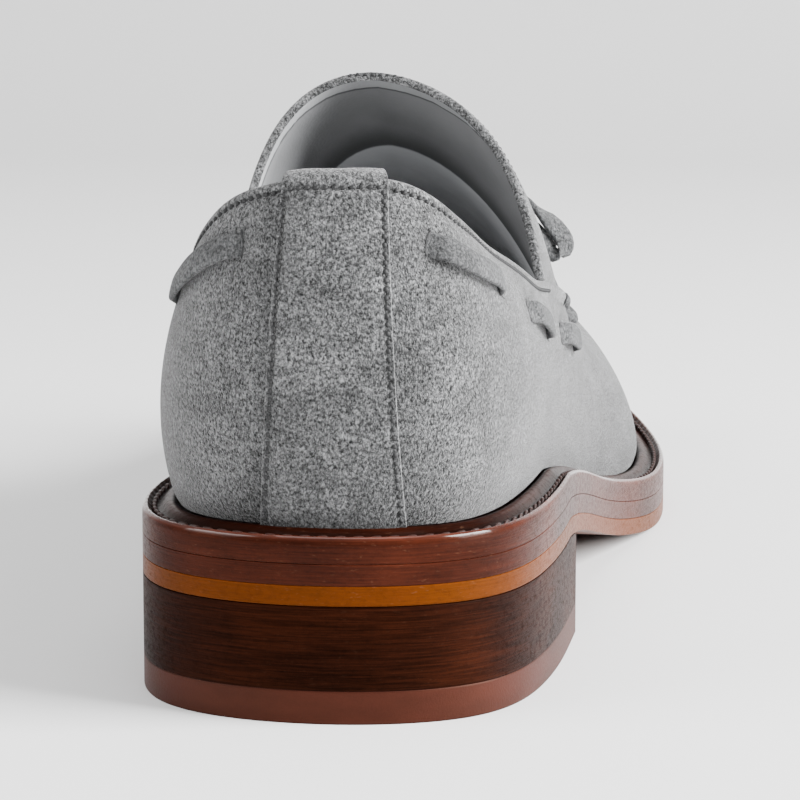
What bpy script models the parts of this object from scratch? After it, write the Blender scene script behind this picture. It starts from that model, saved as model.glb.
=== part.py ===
"""Tassel loafer for the right foot, about size 41, standing empty on its sole. Metres, +Z up, toe towards +Y.

The shoe is laid out from the back of the heel (y = 0) with x = 0 on the heel's centre line and the outer side
at +x, and place() then moves every point so that the origin lies on the floor under the middle of the sole.
"""

import bpy
import bmesh
import math
import numpy as np
from mathutils import Matrix, Vector

# Driving sizes of the sole
SOLE_LENGTH = 0.292
HEEL_WIDTH = 0.075
WAIST_WIDTH = 0.068
BALL_WIDTH = 0.101
HEEL_BREAST = 0.0755      # from the back of the sole to the front face of the heel
BREAST_HOLLOW = 0.0025    # how far the middle of that face is cut back
HEEL_HEIGHT = 0.0209      # from the floor to the underside of the outsole
TOP_LIFT = 0.0058
OUTSOLE = 0.0034
MIDSOLE = 0.0036
WELT = 0.0048
TOE_SPRING = 0.0095
FLAT_START = 0.188        # the forepart lies on the floor between these two places
FLAT_END = 0.213
WAIST_START = 0.066
WAIST_FALL = 1.35         # how late the waist falls from the heel to the floor
SEAM = 0.00025            # clearance between pieces that lie on each other

# Driving sizes of the upper
BACK_HEIGHT = 0.0948      # top of the back seam over the floor
INSTEP_HEIGHT = 0.1057    # top of the throat over the floor
NOTCH_PLACE = 0.0915      # where the tongue's edge leaves the collar, from the back of the sole
THROAT_PLACE = 0.1130     # top of the throat, from the back of the sole
WALL = 0.0024             # suede, stiffener and lining together
STEP = 0.0009             # how much deeper the apron lies than the skirt's edge
SWELL = 0.0100            # strongest outward pull of a section's wall
HEEL_AXIS = 0.036         # the heel's sections turn about this place
TOE_AXIS = 0.262          # and the toe's sections about this one
INSOLE_RISE = 0.0010      # the insole's top over the welt's top
INSOLE_INSET = 0.0038     # the insole's edge from the upper's outer foot line
WELT_INNER = 0.0035       # the welt's inner edge from that line

# Back strip, lace, bow and tassels
STRIP_WIDTH_LOW = 0.0255
STRIP_WIDTH_TOP = 0.0182
STRIP_THICK = 0.0009
STRIP_SHIFT = 0.0027      # the strip sits this far to the outer side of the heel's centre line
STRIP_TUCK = 0.0080       # how far the strip runs down inside the collar
GAP = 0.00035              # from the upper to what lies on it
APRON_GAP = 0.0006        # and from the hollow run of the apron to what lies there
LACE_WIDTH = 0.0044
LACE_THICK = 0.0014
LACE_DROP = 0.0092        # from the collar's edge to the middle of the lace
LACE_START = 0.0172       # from the back seam to the first bar
LACE_BAR = 0.0240         # length of a bar that shows
LACE_GAP = 0.0235         # length that runs inside
LACE_BARS = 3
BAND_PLACE = 0.1370       # the lace crosses the instep here
BOW_REACH = 0.0415        # from the middle of the knot to the end of a loop
BOW_HEIGHT = 0.0052       # between the two runs of a loop
BOW_LEAN = 0.0035         # the end of a loop lies this far ahead of the knot
KNOT_LENGTH = 0.0095
KNOT_WIDTH = 0.0085
KNOT_HEIGHT = 0.0068
END_LENGTH = 0.0125       # lace between knot and tassel
TASSEL_HEAD = 0.0095
TASSEL_SKIRT = 0.0290
TASSEL_RADIUS = 0.0040
TASSEL_FLARE = 0.0074
TASSEL_STRIPS = 12
TASSEL_SPLAY = 0.0100     # from the instep's ridge to the middle of a tassel's head

# Fineness of the meshes
COLLAR_STATIONS = 15
THROAT_STATIONS = 7
FOREPART_STATIONS = 20
SKIRT_ROWS = 7
APRON_ROWS = 5
DENSE = 1201
SEAM_BLEND = 0.05         # share of the way to the toe in which the collar's two sides part at the back seam

WIDTHS = {"heel": HEEL_WIDTH, "waist": WAIST_WIDTH, "ball": BALL_WIDTH}

# Sole edge seen from above, from the back of the heel up the outer side and down the inner side.
# along is a share of SOLE_LENGTH and across a share of the named width.
OUTLINE = (
    # width, along, across
    ("heel", 0.000, 0.000),
    ("heel", 0.037, 0.380),
    ("heel", 0.123, 0.493),
    ("waist", 0.245, 0.566),
    ("waist", 0.360, 0.572),
    ("ball", 0.490, 0.408),
    ("ball", 0.612, 0.460),
    ("ball", 0.715, 0.455),
    ("ball", 0.840, 0.372),
    ("ball", 0.945, 0.205),
    ("ball", 1.000, -0.085),
    ("ball", 0.962, -0.325),
    ("ball", 0.878, -0.470),
    ("ball", 0.785, -0.530),
    ("ball", 0.695, -0.534),
    ("ball", 0.570, -0.455),
    ("waist", 0.425, -0.500),
    ("waist", 0.320, -0.486),
    ("waist", 0.225, -0.520),
    ("heel", 0.123, -0.493),
    ("heel", 0.037, -0.380),
)
TOE_ROW = 10

# How far the welt reaches past the upper, as a share of WELT_REACH.
WELT_REACH = 0.0065
REACH = (
    # along, reach
    (0.00, 1.00),
    (0.14, 0.92),
    (0.34, 0.72),
    (0.50, 0.85),
    (0.66, 0.95),
    (1.00, 0.95),
)

# Cross-sections of the upper. ridge is the height of the last's top line over the floor as a share of
# INSTEP_HEIGHT, and it runs on above the open collar. shift is the ridge's place across, as a share of
# BALL_WIDTH. On each side swell is a share of SWELL, and rise, shoulder and crown place the section's two
# handles: rise and crown are shares of its height, shoulder is a share of its half width.
SECTIONS = (
    # along, ridge, shift, outer swell, rise, shoulder, crown, inner swell, rise, shoulder, crown
    (0.020, 1.300, 0.000, 0.70, 0.30, 0.06, 0.76, 0.70, 0.30, 0.06, 0.76),
    (0.055, 1.060, 0.000, 0.90, 0.37, 0.12, 0.94, 0.90, 0.37, 0.17, 0.94),
    (0.100, 0.925, 0.000, 0.98, 0.43, 0.18, 1.00, 1.00, 0.43, 0.24, 1.00),
    (0.200, 0.930, -0.010, 0.60, 0.46, 0.29, 1.00, 1.00, 0.46, 0.22, 1.00),
    (0.300, 0.990, -0.040, 0.20, 0.54, 0.32, 0.97, 1.00, 0.55, 0.00, 1.00),
    (0.385, 1.003, -0.060, 0.20, 0.55, 0.31, 0.96, 1.00, 0.60, -0.12, 1.00),
    (0.460, 0.880, -0.065, 0.22, 0.44, 0.41, 0.95, 0.60, 0.55, 0.12, 1.00),
    (0.560, 0.745, -0.068, 0.10, 0.27, 0.44, 0.95, 0.40, 0.48, 0.30, 1.00),
    (0.680, 0.600, -0.070, 0.10, 0.28, 0.45, 0.96, 0.30, 0.48, 0.40, 0.99),
    (0.800, 0.505, -0.077, 0.15, 0.42, 0.46, 0.98, 0.25, 0.54, 0.44, 0.99),
    (0.900, 0.455, -0.085, 0.18, 0.54, 0.43, 1.00, 0.20, 0.58, 0.42, 1.00),
    (1.000, 0.440, -0.085, 0.20, 0.62, 0.40, 1.00, 0.20, 0.62, 0.40, 1.00),
)

# Height of the skirt's top edge over the floor, as a share of BACK_HEIGHT: it is the collar as far as the
# notch, and the apron's border from there to the toe.
EDGE = (
    # along, outer side, inner side
    (0.000, 1.000, 1.000),
    (0.030, 0.982, 0.962),
    (0.055, 0.925, 0.888),
    (0.085, 0.882, 0.842),
    (0.120, 0.840, 0.812),
    (0.160, 0.802, 0.792),
    (0.210, 0.758, 0.768),
    (0.260, 0.718, 0.738),
    (0.313, 0.692, 0.712),
    (0.390, 0.640, 0.660),
    (0.470, 0.588, 0.610),
    (0.560, 0.534, 0.560),
    (0.660, 0.482, 0.512),
    (0.760, 0.448, 0.478),
    (0.860, 0.427, 0.442),
    (1.000, 0.424, 0.424),
)


class Curve:
    """A smooth curve through rows of values at rising knots, with free ends or closed on itself."""

    def __init__(self, knots, values, closed=False):
        self.knots = np.asarray(knots, float)
        self.values = np.asarray(values, float).reshape(len(self.knots), -1)
        count = len(self.knots)
        step = np.diff(self.knots)
        slope = np.diff(self.values, axis=0) / step[:, None]
        system = np.zeros((count, count))
        right = np.zeros_like(self.values)
        for i in range(1, count - 1):
            system[i, i - 1:i + 2] = step[i - 1], 2 * (step[i - 1] + step[i]), step[i]
            right[i] = 6 * (slope[i] - slope[i - 1])
        if closed:
            system[0, 0], system[0, -1] = 1, -1
            system[-1, :2] = 2 * step[0], step[0]
            system[-1, -2:] += step[-1], 2 * step[-1]
            right[-1] = 6 * (slope[0] - slope[-1])
        else:
            system[0, 0] = system[-1, -1] = 1
        self.bend = np.linalg.solve(system, right)

    def __call__(self, at):
        at = np.asarray(at, float)
        i = np.clip(np.searchsorted(self.knots, at, side="right") - 1, 0, len(self.knots) - 2)
        step = self.knots[i + 1] - self.knots[i]
        b = ((at - self.knots[i]) / step)[..., None]
        a = 1 - b
        step = step[..., None]
        bent = ((a ** 3 - a) * self.bend[i] + (b ** 3 - b) * self.bend[i + 1]) * step ** 2 / 6
        return a * self.values[i] + b * self.values[i + 1] + bent


def columns(table):
    """A table's first column as knots and the others as a smooth curve."""
    rows = np.array(table, float)
    return Curve(rows[:, 0], rows[:, 1:])


def sole_edge():
    """Both sides of the sole's edge as dense points from heel to toe, and their inward directions."""
    points = [(across * WIDTHS[width], along * SOLE_LENGTH) for width, along, across in OUTLINE]
    points = np.array(points + points[:1])
    knots = np.concatenate([[0], np.cumsum(np.linalg.norm(np.diff(points, axis=0), axis=1))])
    curve = Curve(knots, points, closed=True)
    sides = {}
    for side, start, end in ((1, 0, knots[TOE_ROW]), (-1, knots[-1], knots[TOE_ROW])):
        dense = curve(np.linspace(start, end, 4 * DENSE))
        run = np.concatenate([[0], np.cumsum(np.linalg.norm(np.diff(dense, axis=0), axis=1))])
        even = np.linspace(0, run[-1], DENSE)
        edge = np.stack([np.interp(even, run, dense[:, k]) for k in (0, 1)], axis=1)
        tangent = np.gradient(edge, axis=0)
        tangent /= np.linalg.norm(tangent, axis=1)[:, None]
        inward = np.stack([-side * tangent[:, 1], side * tangent[:, 0]], axis=1)
        sides[side] = (edge, inward)
    return sides


SIDES = sole_edge()
SHARES = np.linspace(0, 1, DENSE)
REACH_CURVE = columns(REACH)
SECTION_CURVE = columns(SECTIONS)
EDGE_CURVE = columns(EDGE)
CENTRE_X = (SIDES[1][0][:, 0].max() + SIDES[-1][0][:, 0].min()) / 2


def read(side, a, dense):
    """A dense array read at shares a of the way from heel to toe."""
    return np.stack([np.interp(a, SHARES, dense[side][:, k]) for k in range(dense[side].shape[1])], axis=-1)


EDGES = {side: SIDES[side][0] for side in SIDES}
INWARD = {side: SIDES[side][1] for side in SIDES}


def welt_reach(y):
    return WELT_REACH * REACH_CURVE(y / SOLE_LENGTH)[..., 0]


def outline_point(side, a, inset):
    """Plan point of the sole's edge at share a, moved inwards by inset."""
    return read(side, a, EDGES) + read(side, a, INWARD) * np.asarray(inset)[..., None]


def foot_line(side, a, extra=0.0):
    """Plan point of the line where the upper meets the welt, moved further in by extra."""
    edge = read(side, a, EDGES)
    return outline_point(side, a, welt_reach(edge[..., 1]) + extra)


def sole_bottom(y):
    """Height of the outsole's underside: level on the heel, falling through the waist, level, then toe spring."""
    y = np.asarray(y, float)
    fall = np.clip((y - WAIST_START) / (FLAT_START - WAIST_START), 0, 1)
    waist = HEEL_HEIGHT * (1 - fall) ** 2 * (1 + WAIST_FALL * fall)
    toe = TOE_SPRING * (np.clip(y - FLAT_END, 0, None) / (SOLE_LENGTH - FLAT_END)) ** 2
    return waist + toe


def midsole_bottom(y):
    return sole_bottom(y) + OUTSOLE + SEAM


def welt_bottom(y):
    return midsole_bottom(y) + MIDSOLE + SEAM


def welt_top(y):
    return welt_bottom(y) + WELT


def form(side, a, t):
    """Point of the upper's outer form: share a from heel to toe, t from the foot line up to the ridge."""
    side, a, t = np.broadcast_arrays(side, np.asarray(a, float), np.asarray(t, float))
    side = np.where((a < 0) | (a > 1), -side, side)
    a = np.abs(a)
    a = np.where(a > 1, 2 - a, a)
    side = np.where(t > 1, -side, side)
    t = np.where(t > 1, 2 - t, t)
    outer, inner = foot_line(1, a), foot_line(-1, a)
    plan = np.where((side > 0)[..., None], outer, inner)
    y_mean = (outer[..., 1] + inner[..., 1]) / 2
    columns_here = np.moveaxis(SECTION_CURVE(y_mean / SOLE_LENGTH), -1, 0)
    ridge, shift = columns_here[:2]
    swell, rise, shoulder, crown = np.where(side > 0, columns_here[2:6], columns_here[6:10])
    heel_pull = np.clip(1 - y_mean / (2 * HEEL_AXIS), 0, 1) ** 2 * HEEL_AXIS
    toe_room = SOLE_LENGTH - TOE_AXIS
    toe_pull = np.clip((y_mean - TOE_AXIS + toe_room) / (2 * toe_room), 0, 1) ** 2 * toe_room
    spine = np.stack([shift * BALL_WIDTH, y_mean + heel_pull - toe_pull], axis=-1)
    way = spine - plan
    reach = np.linalg.norm(way, axis=-1)
    foot = welt_top(plan[..., 1]) + SEAM
    tall = ridge * INSTEP_HEIGHT - foot
    low, high, top = 3 * (1 - t) ** 2 * t, 3 * (1 - t) * t ** 2, t ** 3
    inward = -low * swell * SWELL + high * shoulder * reach + top * reach
    up = foot + tall * (low * rise + high * crown + top)
    flat = plan + way / reach[..., None] * inward[..., None]
    return np.concatenate([flat, up[..., None]], axis=-1)


def frame_at(side, a, t):
    """Point of the form, its unit directions towards the toe and towards the ridge, and its outward normal."""
    da, dt = 0.004, 0.01
    point = form(side, a, t)
    a, t = np.broadcast_arrays(np.asarray(a, float), np.asarray(t, float))
    a = np.where((t > 0.98) & (a > 1 - 3 * da), 1 - 3 * da, a)
    ahead = form(side, a + da, t) - form(side, a - da, t)
    above = form(side, a, t + dt) - form(side, a, np.clip(t - dt, 0, None))
    ahead = ahead / np.linalg.norm(ahead, axis=-1)[..., None]
    above = above / np.linalg.norm(above, axis=-1)[..., None]
    normal = np.cross(ahead, above) * np.asarray(side)[..., None]
    normal = normal / np.linalg.norm(normal, axis=-1)[..., None]
    return point, ahead, above, normal


def skin(side, a, t, lift=0.0):
    """Point lying lift outside the upper's outer form."""
    point, _, _, normal = frame_at(side, a, t)
    return point + normal * np.asarray(lift)[..., None]


def share_at(y):
    """Share a whose station lies at distance y from the back of the sole."""
    mean = (foot_line(1, SHARES)[:, 1] + foot_line(-1, SHARES)[:, 1]) / 2
    return float(np.interp(y, mean, SHARES))


def t_at_height(side, a, height):
    """The t at which the form at station a reaches a height over the floor."""
    ts = np.linspace(0, 1, 201)
    return float(np.interp(height, form(side, a, ts)[:, 2], ts))


NOTCH = share_at(NOTCH_PLACE)
THROAT = share_at(THROAT_PLACE)


def edge_t(side, a):
    """t of the skirt's top edge, which is the collar and then the apron's border."""
    y = (foot_line(1, a)[1] + foot_line(-1, a)[1]) / 2
    outer, inner = EDGE_CURVE(y / SOLE_LENGTH)
    apart = min(1.0, a / SEAM_BLEND)
    apart = apart * apart * (3 - 2 * apart)
    share = (outer + inner) / 2 + (outer - inner) / 2 * side * apart
    return t_at_height(side, a, BACK_HEIGHT * share)


def top_t(side, a):
    """t of the upper's last row: the collar, the tongue's rising edge, then the ridge."""
    if a <= NOTCH:
        return edge_t(side, a)
    if a >= THROAT - 1e-9:
        return 1.0
    low = form(side, NOTCH, edge_t(side, NOTCH))[2]
    rise = (a - NOTCH) / (THROAT - NOTCH)
    return t_at_height(side, a, low + (form(side, THROAT, 1.0)[2] - low) * rise)


def place(point):
    """Moves a point from the heel's frame into the part's frame."""
    return Vector((float(point[0] - CENTRE_X), float(point[1] - SOLE_LENGTH / 2), float(point[2])))


def material(name, colour, roughness):
    made = bpy.data.materials.new(name)
    made.use_nodes = True
    shader = made.node_tree.nodes["Principled BSDF"]
    shader.inputs["Base Color"].default_value = (*colour, 1)
    shader.inputs["Roughness"].default_value = roughness
    shader.inputs["Metallic"].default_value = 0.0
    return made


def make_object(name, mesh, finish):
    """Closes up a bmesh, turns its faces outwards and adds it to the scene under name."""
    bmesh.ops.remove_doubles(mesh, verts=mesh.verts, dist=0.000002)
    bmesh.ops.recalc_face_normals(mesh, faces=mesh.faces)
    data = bpy.data.meshes.new(name)
    mesh.to_mesh(data)
    mesh.free()
    data.shade_smooth()
    data.set_sharp_from_angle(angle=math.radians(40))
    data.materials.append(finish)
    piece = bpy.data.objects.new(name, data)
    bpy.context.scene.collection.objects.link(piece)
    return piece


def rows_of(mesh, grid):
    """Vertices for a grid of points."""
    return [[mesh.verts.new(place(p)) for p in row] for row in grid]


def join_rows(mesh, rows, closed=False):
    """Quads between neighbouring rows of vertices, which close on themselves if closed is set."""
    for first, second in zip(rows, rows[1:]):
        count = len(first)
        for i in range(count if closed else count - 1):
            k = (i + 1) % count
            mesh.faces.new((first[i], first[k], second[k], second[i]))


def around(stations):
    """(side, share) pairs round the shoe: up the outer side from heel to toe and back down the inner side."""
    return [(1, a) for a in stations] + [(-1, a) for a in stations[-2:0:-1]]


def upper_stations():
    collar = np.linspace(0, NOTCH, COLLAR_STATIONS)
    rise = np.sin(np.linspace(0, math.pi / 2, THROAT_STATIONS))
    throat = NOTCH + (THROAT - NOTCH) * rise[1:]
    forepart = np.linspace(THROAT, 1, FOREPART_STATIONS)[1:]
    return list(collar), list(throat), list(forepart)


def build_upper(finish):
    """Skirt and quarters with the apron and tongue set one step deeper, as one hollow wall open at the collar
    and underneath."""
    collar, throat, forepart = upper_stations()
    ring = around(collar + throat + forepart)
    half = collar + throat + forepart
    front = [(1, a) for a in half if a >= NOTCH] + [(-1, a) for a in half[::-1][1:] if a >= NOTCH]
    opening = [(-1, a) for a in collar[::-1][:-1]] + [(1, a) for a in collar]
    mesh = bmesh.new()

    def column(side, a, low, high, count, lift):
        return [skin(side, a, t, lift) for t in np.linspace(low, high, count + 1)]

    def patch(stations, low, high, count, lift, closed):
        grid = [column(s, a, low(s, a), high(s, a), count, lift) for s, a in stations]
        rows = rows_of(mesh, grid + grid[:1] if closed else grid)
        for first, second in zip(rows, rows[1:]):
            join_rows(mesh, [first, second])

    def rim(stations, lifts, at, closed):
        grid = [[skin(s, a, at(s, a), lift) for lift in lifts] for s, a in stations]
        join_rows(mesh, rows_of(mesh, grid + grid[:1] if closed else grid))

    def foot(side, a):
        return 0.0

    for lift in (0.0, -WALL):
        patch(ring, foot, edge_t, SKIRT_ROWS, lift, True)
    for lift in (-STEP, -WALL):
        patch(front, edge_t, top_t, APRON_ROWS, lift, False)
    rim(ring, (0.0, -WALL), foot, True)
    rim(opening, (0.0, -STEP, -WALL), edge_t, False)
    rim(front, (0.0, -STEP), edge_t, False)
    for side in (1, -1):
        rim([(side, a) for a in [NOTCH] + throat], (-STEP, -WALL), top_t, False)
    bmesh.ops.remove_doubles(mesh, verts=mesh.verts, dist=0.000002)
    bmesh.ops.dissolve_degenerate(mesh, edges=mesh.edges, dist=0.000002)
    return make_object("upper", mesh, finish)


def sole_stations(count, last=1.0):
    """Shares from heel to last, closer together round the heel and the toe."""
    even = np.linspace(0, 1, count)
    return list(last * (even - 0.04 * np.sin(2 * math.pi * even)))


def layer(name, inset, bottom, top, finish, count=34):
    """A full-length sheet of the sole between two height functions."""
    mesh = bmesh.new()
    stations = sole_stations(count)
    rings = []
    for height in (bottom, top):
        ring = []
        for side, a in around(stations):
            plan = inset(side, a)
            ring.append(mesh.verts.new(place((*plan, height(plan[1])))))
        rings.append(ring)
    join_rows(mesh, rings, closed=True)
    total = len(rings[0])
    for ring in rings:
        mesh.faces.new((ring[0], ring[1], ring[-1]))
        for i in range(1, count - 2):
            mesh.faces.new((ring[i], ring[i + 1], ring[total - i - 1], ring[total - i]))
        mesh.faces.new((ring[count - 2], ring[count - 1], ring[count]))
    return make_object(name, mesh, finish)


def build_welt(finish):
    """The strip that carries the stitching: a flat outer rim, a stitch groove and a bead against the upper."""
    # share of the welt's reach inwards from the sole's edge, height as a share of WELT
    profile = ((0.00, 0.00), (0.00, 0.70), (0.10, 0.84), (0.45, 0.80), (0.62, 0.70), (0.78, 1.00))
    mesh = bmesh.new()
    rows = []
    for side, a in around(sole_stations(40)):
        y = read(side, a, EDGES)[1]
        reach = welt_reach(y)
        row = []
        for share, tall in profile:
            plan = outline_point(side, a, share * reach)
            row.append((*plan, welt_bottom(plan[1]) + tall * WELT))
        for tall in (1.0, 0.0):
            plan = foot_line(side, a, WELT_INNER)
            row.append((*plan, welt_bottom(plan[1]) + tall * WELT))
        rows.append(row)
    verts = rows_of(mesh, rows)
    join_rows(mesh, verts + verts[:1], closed=True)
    return make_object("welt", mesh, finish)


def heel_outline(inset=0.0, count=17):
    """Plan of the heel block: round the back, with its front face cut back a little in the middle."""
    last = float(np.interp(HEEL_BREAST, EDGES[1][:, 1], SHARES))
    last_inner = float(np.interp(HEEL_BREAST, EDGES[-1][:, 1], SHARES))
    spread = np.sin(np.linspace(0, math.pi / 2, count))
    points = [outline_point(1, a, inset) for a in last * spread]
    outer, inner = points[-1], outline_point(-1, last_inner, inset)
    for share in np.linspace(0, 1, 6)[1:-1]:
        hollow = BREAST_HOLLOW * math.sin(math.pi * share)
        points.append(outer + (inner - outer) * share - np.array((0, hollow)))
    points += [outline_point(-1, a, inset) for a in (last_inner * spread)[:0:-1]]
    return points


def heel_piece(name, bottom, top, finish):
    """A solid block of the heel between two height functions."""
    mesh = bmesh.new()
    outline = heel_outline()
    low = [mesh.verts.new(place((*p, bottom(p[1])))) for p in outline]
    high = [mesh.verts.new(place((*p, top(p[1])))) for p in outline]
    join_rows(mesh, [low, high], closed=True)
    for ring in (low, high):
        face = mesh.faces.new(ring)
        bmesh.ops.triangulate(mesh, faces=[face])
    return make_object(name, mesh, finish)


def sweep(name, centres, across, outward, width, thick, finish):
    """A flat strip with slightly rounded edges along centres, its width and thickness along two directions."""
    # share of half the width, share of half the thickness
    section = ((-1, 0.2), (-0.72, 1), (0.72, 1), (1, 0.2), (1, -0.5), (0.72, -1), (-0.72, -1), (-1, -0.5))
    mesh = bmesh.new()
    grid = []
    for centre, side, up in zip(centres, across, outward):
        grid.append([centre + side * (u * width / 2) + up * (v * thick / 2) for u, v in section])
    rows = rows_of(mesh, grid)
    for first, second in zip(rows, rows[1:]):
        join_rows(mesh, [first, second], closed=True)
    mesh.faces.new(rows[0])
    mesh.faces.new(rows[-1])
    return make_object(name, mesh, finish)


def lace_t(side, a):
    """t of the lace's middle line, LACE_DROP below the skirt's edge."""
    edge = edge_t(side, a)
    span = np.linalg.norm(form(side, a, edge) - form(side, a, edge - 0.05)) / 0.05
    return edge - LACE_DROP / span


def lace_path(side):
    """Shares and running lengths along the lace's middle line, from the back seam forwards."""
    shares = np.linspace(0, share_at(FLAT_START), 120)
    points = np.array([form(side, a, lace_t(side, a)) for a in shares])
    run = np.concatenate([[0], np.cumsum(np.linalg.norm(np.diff(points, axis=0), axis=1))])
    return shares, run


def build_lace_bars(finish):
    """The stretches of the collar lace that show between its slots, alike on both sides."""
    for side, word in ((1, "outer"), (-1, "inner")):
        shares, run = lace_path(side)
        for number in range(LACE_BARS):
            start = LACE_START + side * STRIP_SHIFT + number * (LACE_BAR + LACE_GAP)
            centres, across, outward = [], [], []
            for length in np.linspace(start, start + LACE_BAR, 8):
                a = float(np.interp(length, run, shares))
                share = (length - start) / LACE_BAR
                belly = 0.0006 * math.sin(math.pi * share)
                point, ahead, above, normal = frame_at(side, a, lace_t(side, a))
                upright = np.cross(normal, ahead)
                centres.append(point + normal * (GAP + LACE_THICK / 2 + belly))
                across.append(upright / np.linalg.norm(upright))
                outward.append(normal)
            sweep(f"lace_bar_{word}_{number + 1}", centres, across, outward, LACE_WIDTH, LACE_THICK, finish)


def build_back_strip(finish):
    """The strip over the back seam, folded over the collar and tucked inside."""
    near, far = GAP, GAP + STRIP_THICK
    mesh = bmesh.new()
    layers = {near: [], far: []}
    shares = np.linspace(0, 0.2, 120)
    top = edge_t(1, 0.0)
    climb = np.linspace(0, 1, 9)
    runs = []
    for share in climb:
        points = form(1, shares, 0.004 + (top - 0.004) * share)
        runs.append(np.concatenate([[0], np.cumsum(np.linalg.norm(np.diff(points, axis=0), axis=1))]))
    for across in np.linspace(-1, 1, 9):
        rows = {near: [], far: []}
        for share, run in zip(climb, runs):
            half = (STRIP_WIDTH_LOW + (STRIP_WIDTH_TOP - STRIP_WIDTH_LOW) * share) / 2
            distance = across * half + STRIP_SHIFT
            side = 1 if distance >= 0 else -1
            a = float(np.interp(abs(distance), run, shares))
            t = 0.004 + (edge_t(side, a) - 0.004) * share
            for lift in (near, far):
                rows[lift].append(skin(side, a, t, lift))
        edge = edge_t(side, a)
        point, _, above, normal = frame_at(side, a, edge)
        for angle in np.linspace(0, math.pi, 7)[1:-1]:
            for lift in (near, far):
                radius = WALL / 2 + lift
                middle = point - normal * WALL / 2
                rows[lift].append(middle + normal * radius * math.cos(angle) + above * radius * math.sin(angle))
        span = np.linalg.norm(form(side, a, edge) - form(side, a, edge - 0.05)) / 0.05
        for down in np.linspace(0, STRIP_TUCK, 4):
            for lift in (near, far):
                rows[lift].append(skin(side, a, edge - down / span, -WALL - lift))
        for lift in (near, far):
            layers[lift].append(rows[lift])
    grids = [rows_of(mesh, layers[lift]) for lift in (near, far)]
    for grid in grids:
        for first, second in zip(grid, grid[1:]):
            join_rows(mesh, [first, second])
    inner, outer = grids
    join_rows(mesh, [inner[0], outer[0]])
    join_rows(mesh, [inner[-1], outer[-1]])
    join_rows(mesh, [[row[0] for row in inner], [row[0] for row in outer]])
    join_rows(mesh, [[row[-1] for row in inner], [row[-1] for row in outer]])
    return make_object("back_strip", mesh, finish)


def over_ridge(a, distance):
    """(side, t) at a signed distance from the ridge along the section at station a, outer side positive."""
    side = 1 if distance >= 0 else -1
    ts = np.linspace(1, 0, 300)
    points = form(side, a, ts)
    run = np.concatenate([[0], np.cumsum(np.linalg.norm(np.diff(points, axis=0), axis=1))])
    return side, float(np.interp(abs(distance), run, ts))


def vamp_frame(a, distance):
    """frame_at for a signed distance across the ridge, with its sideways direction towards the outer side."""
    side, t = over_ridge(a, distance)
    point, ahead, above, normal = frame_at(side, a, t)
    sideways = np.cross(ahead, normal)
    return point, ahead, sideways / np.linalg.norm(sideways), normal


def build_band(finish):
    """The lace's crossing over the instep, from border to border of the apron."""
    a = share_at(BAND_PLACE)
    reach = []
    for side in (1, -1):
        ts = np.linspace(edge_t(side, a), 1, 200)
        length = np.linalg.norm(np.diff(form(side, a, ts), axis=0), axis=1).sum()
        reach.append(side * (length - 0.0015))
    centres, across, outward = [], [], []
    for distance in np.linspace(reach[1], reach[0], 23):
        point, ahead, _, normal = vamp_frame(a, distance)
        centres.append(point + normal * (APRON_GAP - STEP + LACE_THICK / 2))
        across.append(ahead)
        outward.append(normal)
    return sweep("lace_band", centres, across, outward, LACE_WIDTH, LACE_THICK, finish)


BAND_TOP = APRON_GAP - STEP + LACE_THICK
KNOT_MIDDLE = BAND_TOP + GAP + KNOT_HEIGHT / 2


def build_knot(finish):
    """The knot that gathers bow and ends on top of the crossing."""
    point, ahead, sideways, normal = vamp_frame(share_at(BAND_PLACE), 0.0)
    mesh = bmesh.new()
    bmesh.ops.create_cube(mesh, size=1.0)
    bmesh.ops.scale(mesh, vec=(KNOT_WIDTH, KNOT_LENGTH, KNOT_HEIGHT), verts=mesh.verts)
    bmesh.ops.bevel(mesh, geom=mesh.edges[:] + mesh.verts[:], offset=KNOT_HEIGHT * 0.3, segments=3,
                    profile=0.5, affect="EDGES")
    turn = Matrix([Vector(v) for v in (sideways, ahead, normal)]).transposed()
    centre = Vector(point + normal * KNOT_MIDDLE)
    middle = place(centre)
    for vertex in mesh.verts:
        vertex.co = turn @ vertex.co + middle
    return make_object("lace_knot", mesh, finish)


def loop_path(sign):
    """Middle line of one loop of the bow: out low along the vamp and back above, as (distance, lift) steps."""
    start = KNOT_WIDTH / 2 + GAP
    low = BAND_TOP + GAP + LACE_THICK / 2
    middle = low + BOW_HEIGHT / 2
    turn = BOW_HEIGHT / 2
    path = [(start + (BOW_REACH - turn - start) * s, low + 0.0004 * math.sin(math.pi * s)) for s in
            np.linspace(0, 1, 9)]
    path += [(BOW_REACH - turn + turn * math.sin(v), middle - turn * math.cos(v)) for v in
             np.linspace(0, math.pi, 9)[1:-1]]
    high = low + BOW_HEIGHT
    drop = 0.0012
    path += [(BOW_REACH - turn + (start - BOW_REACH + turn) * s, high - drop * s * s) for s in
             np.linspace(0, 1, 9)]
    return [(sign * distance, lift) for distance, lift in path]


def build_loop(sign, word, finish):
    a = share_at(BAND_PLACE)
    lean = share_at(BAND_PLACE + BOW_LEAN) - a
    centres, widths = [], []
    for distance, lift in loop_path(sign):
        point, ahead, _, normal = vamp_frame(a + lean * (distance / BOW_REACH) ** 2, distance)
        centres.append(point + normal * lift)
        widths.append(ahead)
    tangents = np.gradient(np.array(centres), axis=0)
    outward = np.cross(tangents, np.array(widths))
    outward /= np.linalg.norm(outward, axis=1)[:, None]
    return sweep(f"bow_loop_{word}", centres, widths, outward, LACE_WIDTH, LACE_THICK, finish)


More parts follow.
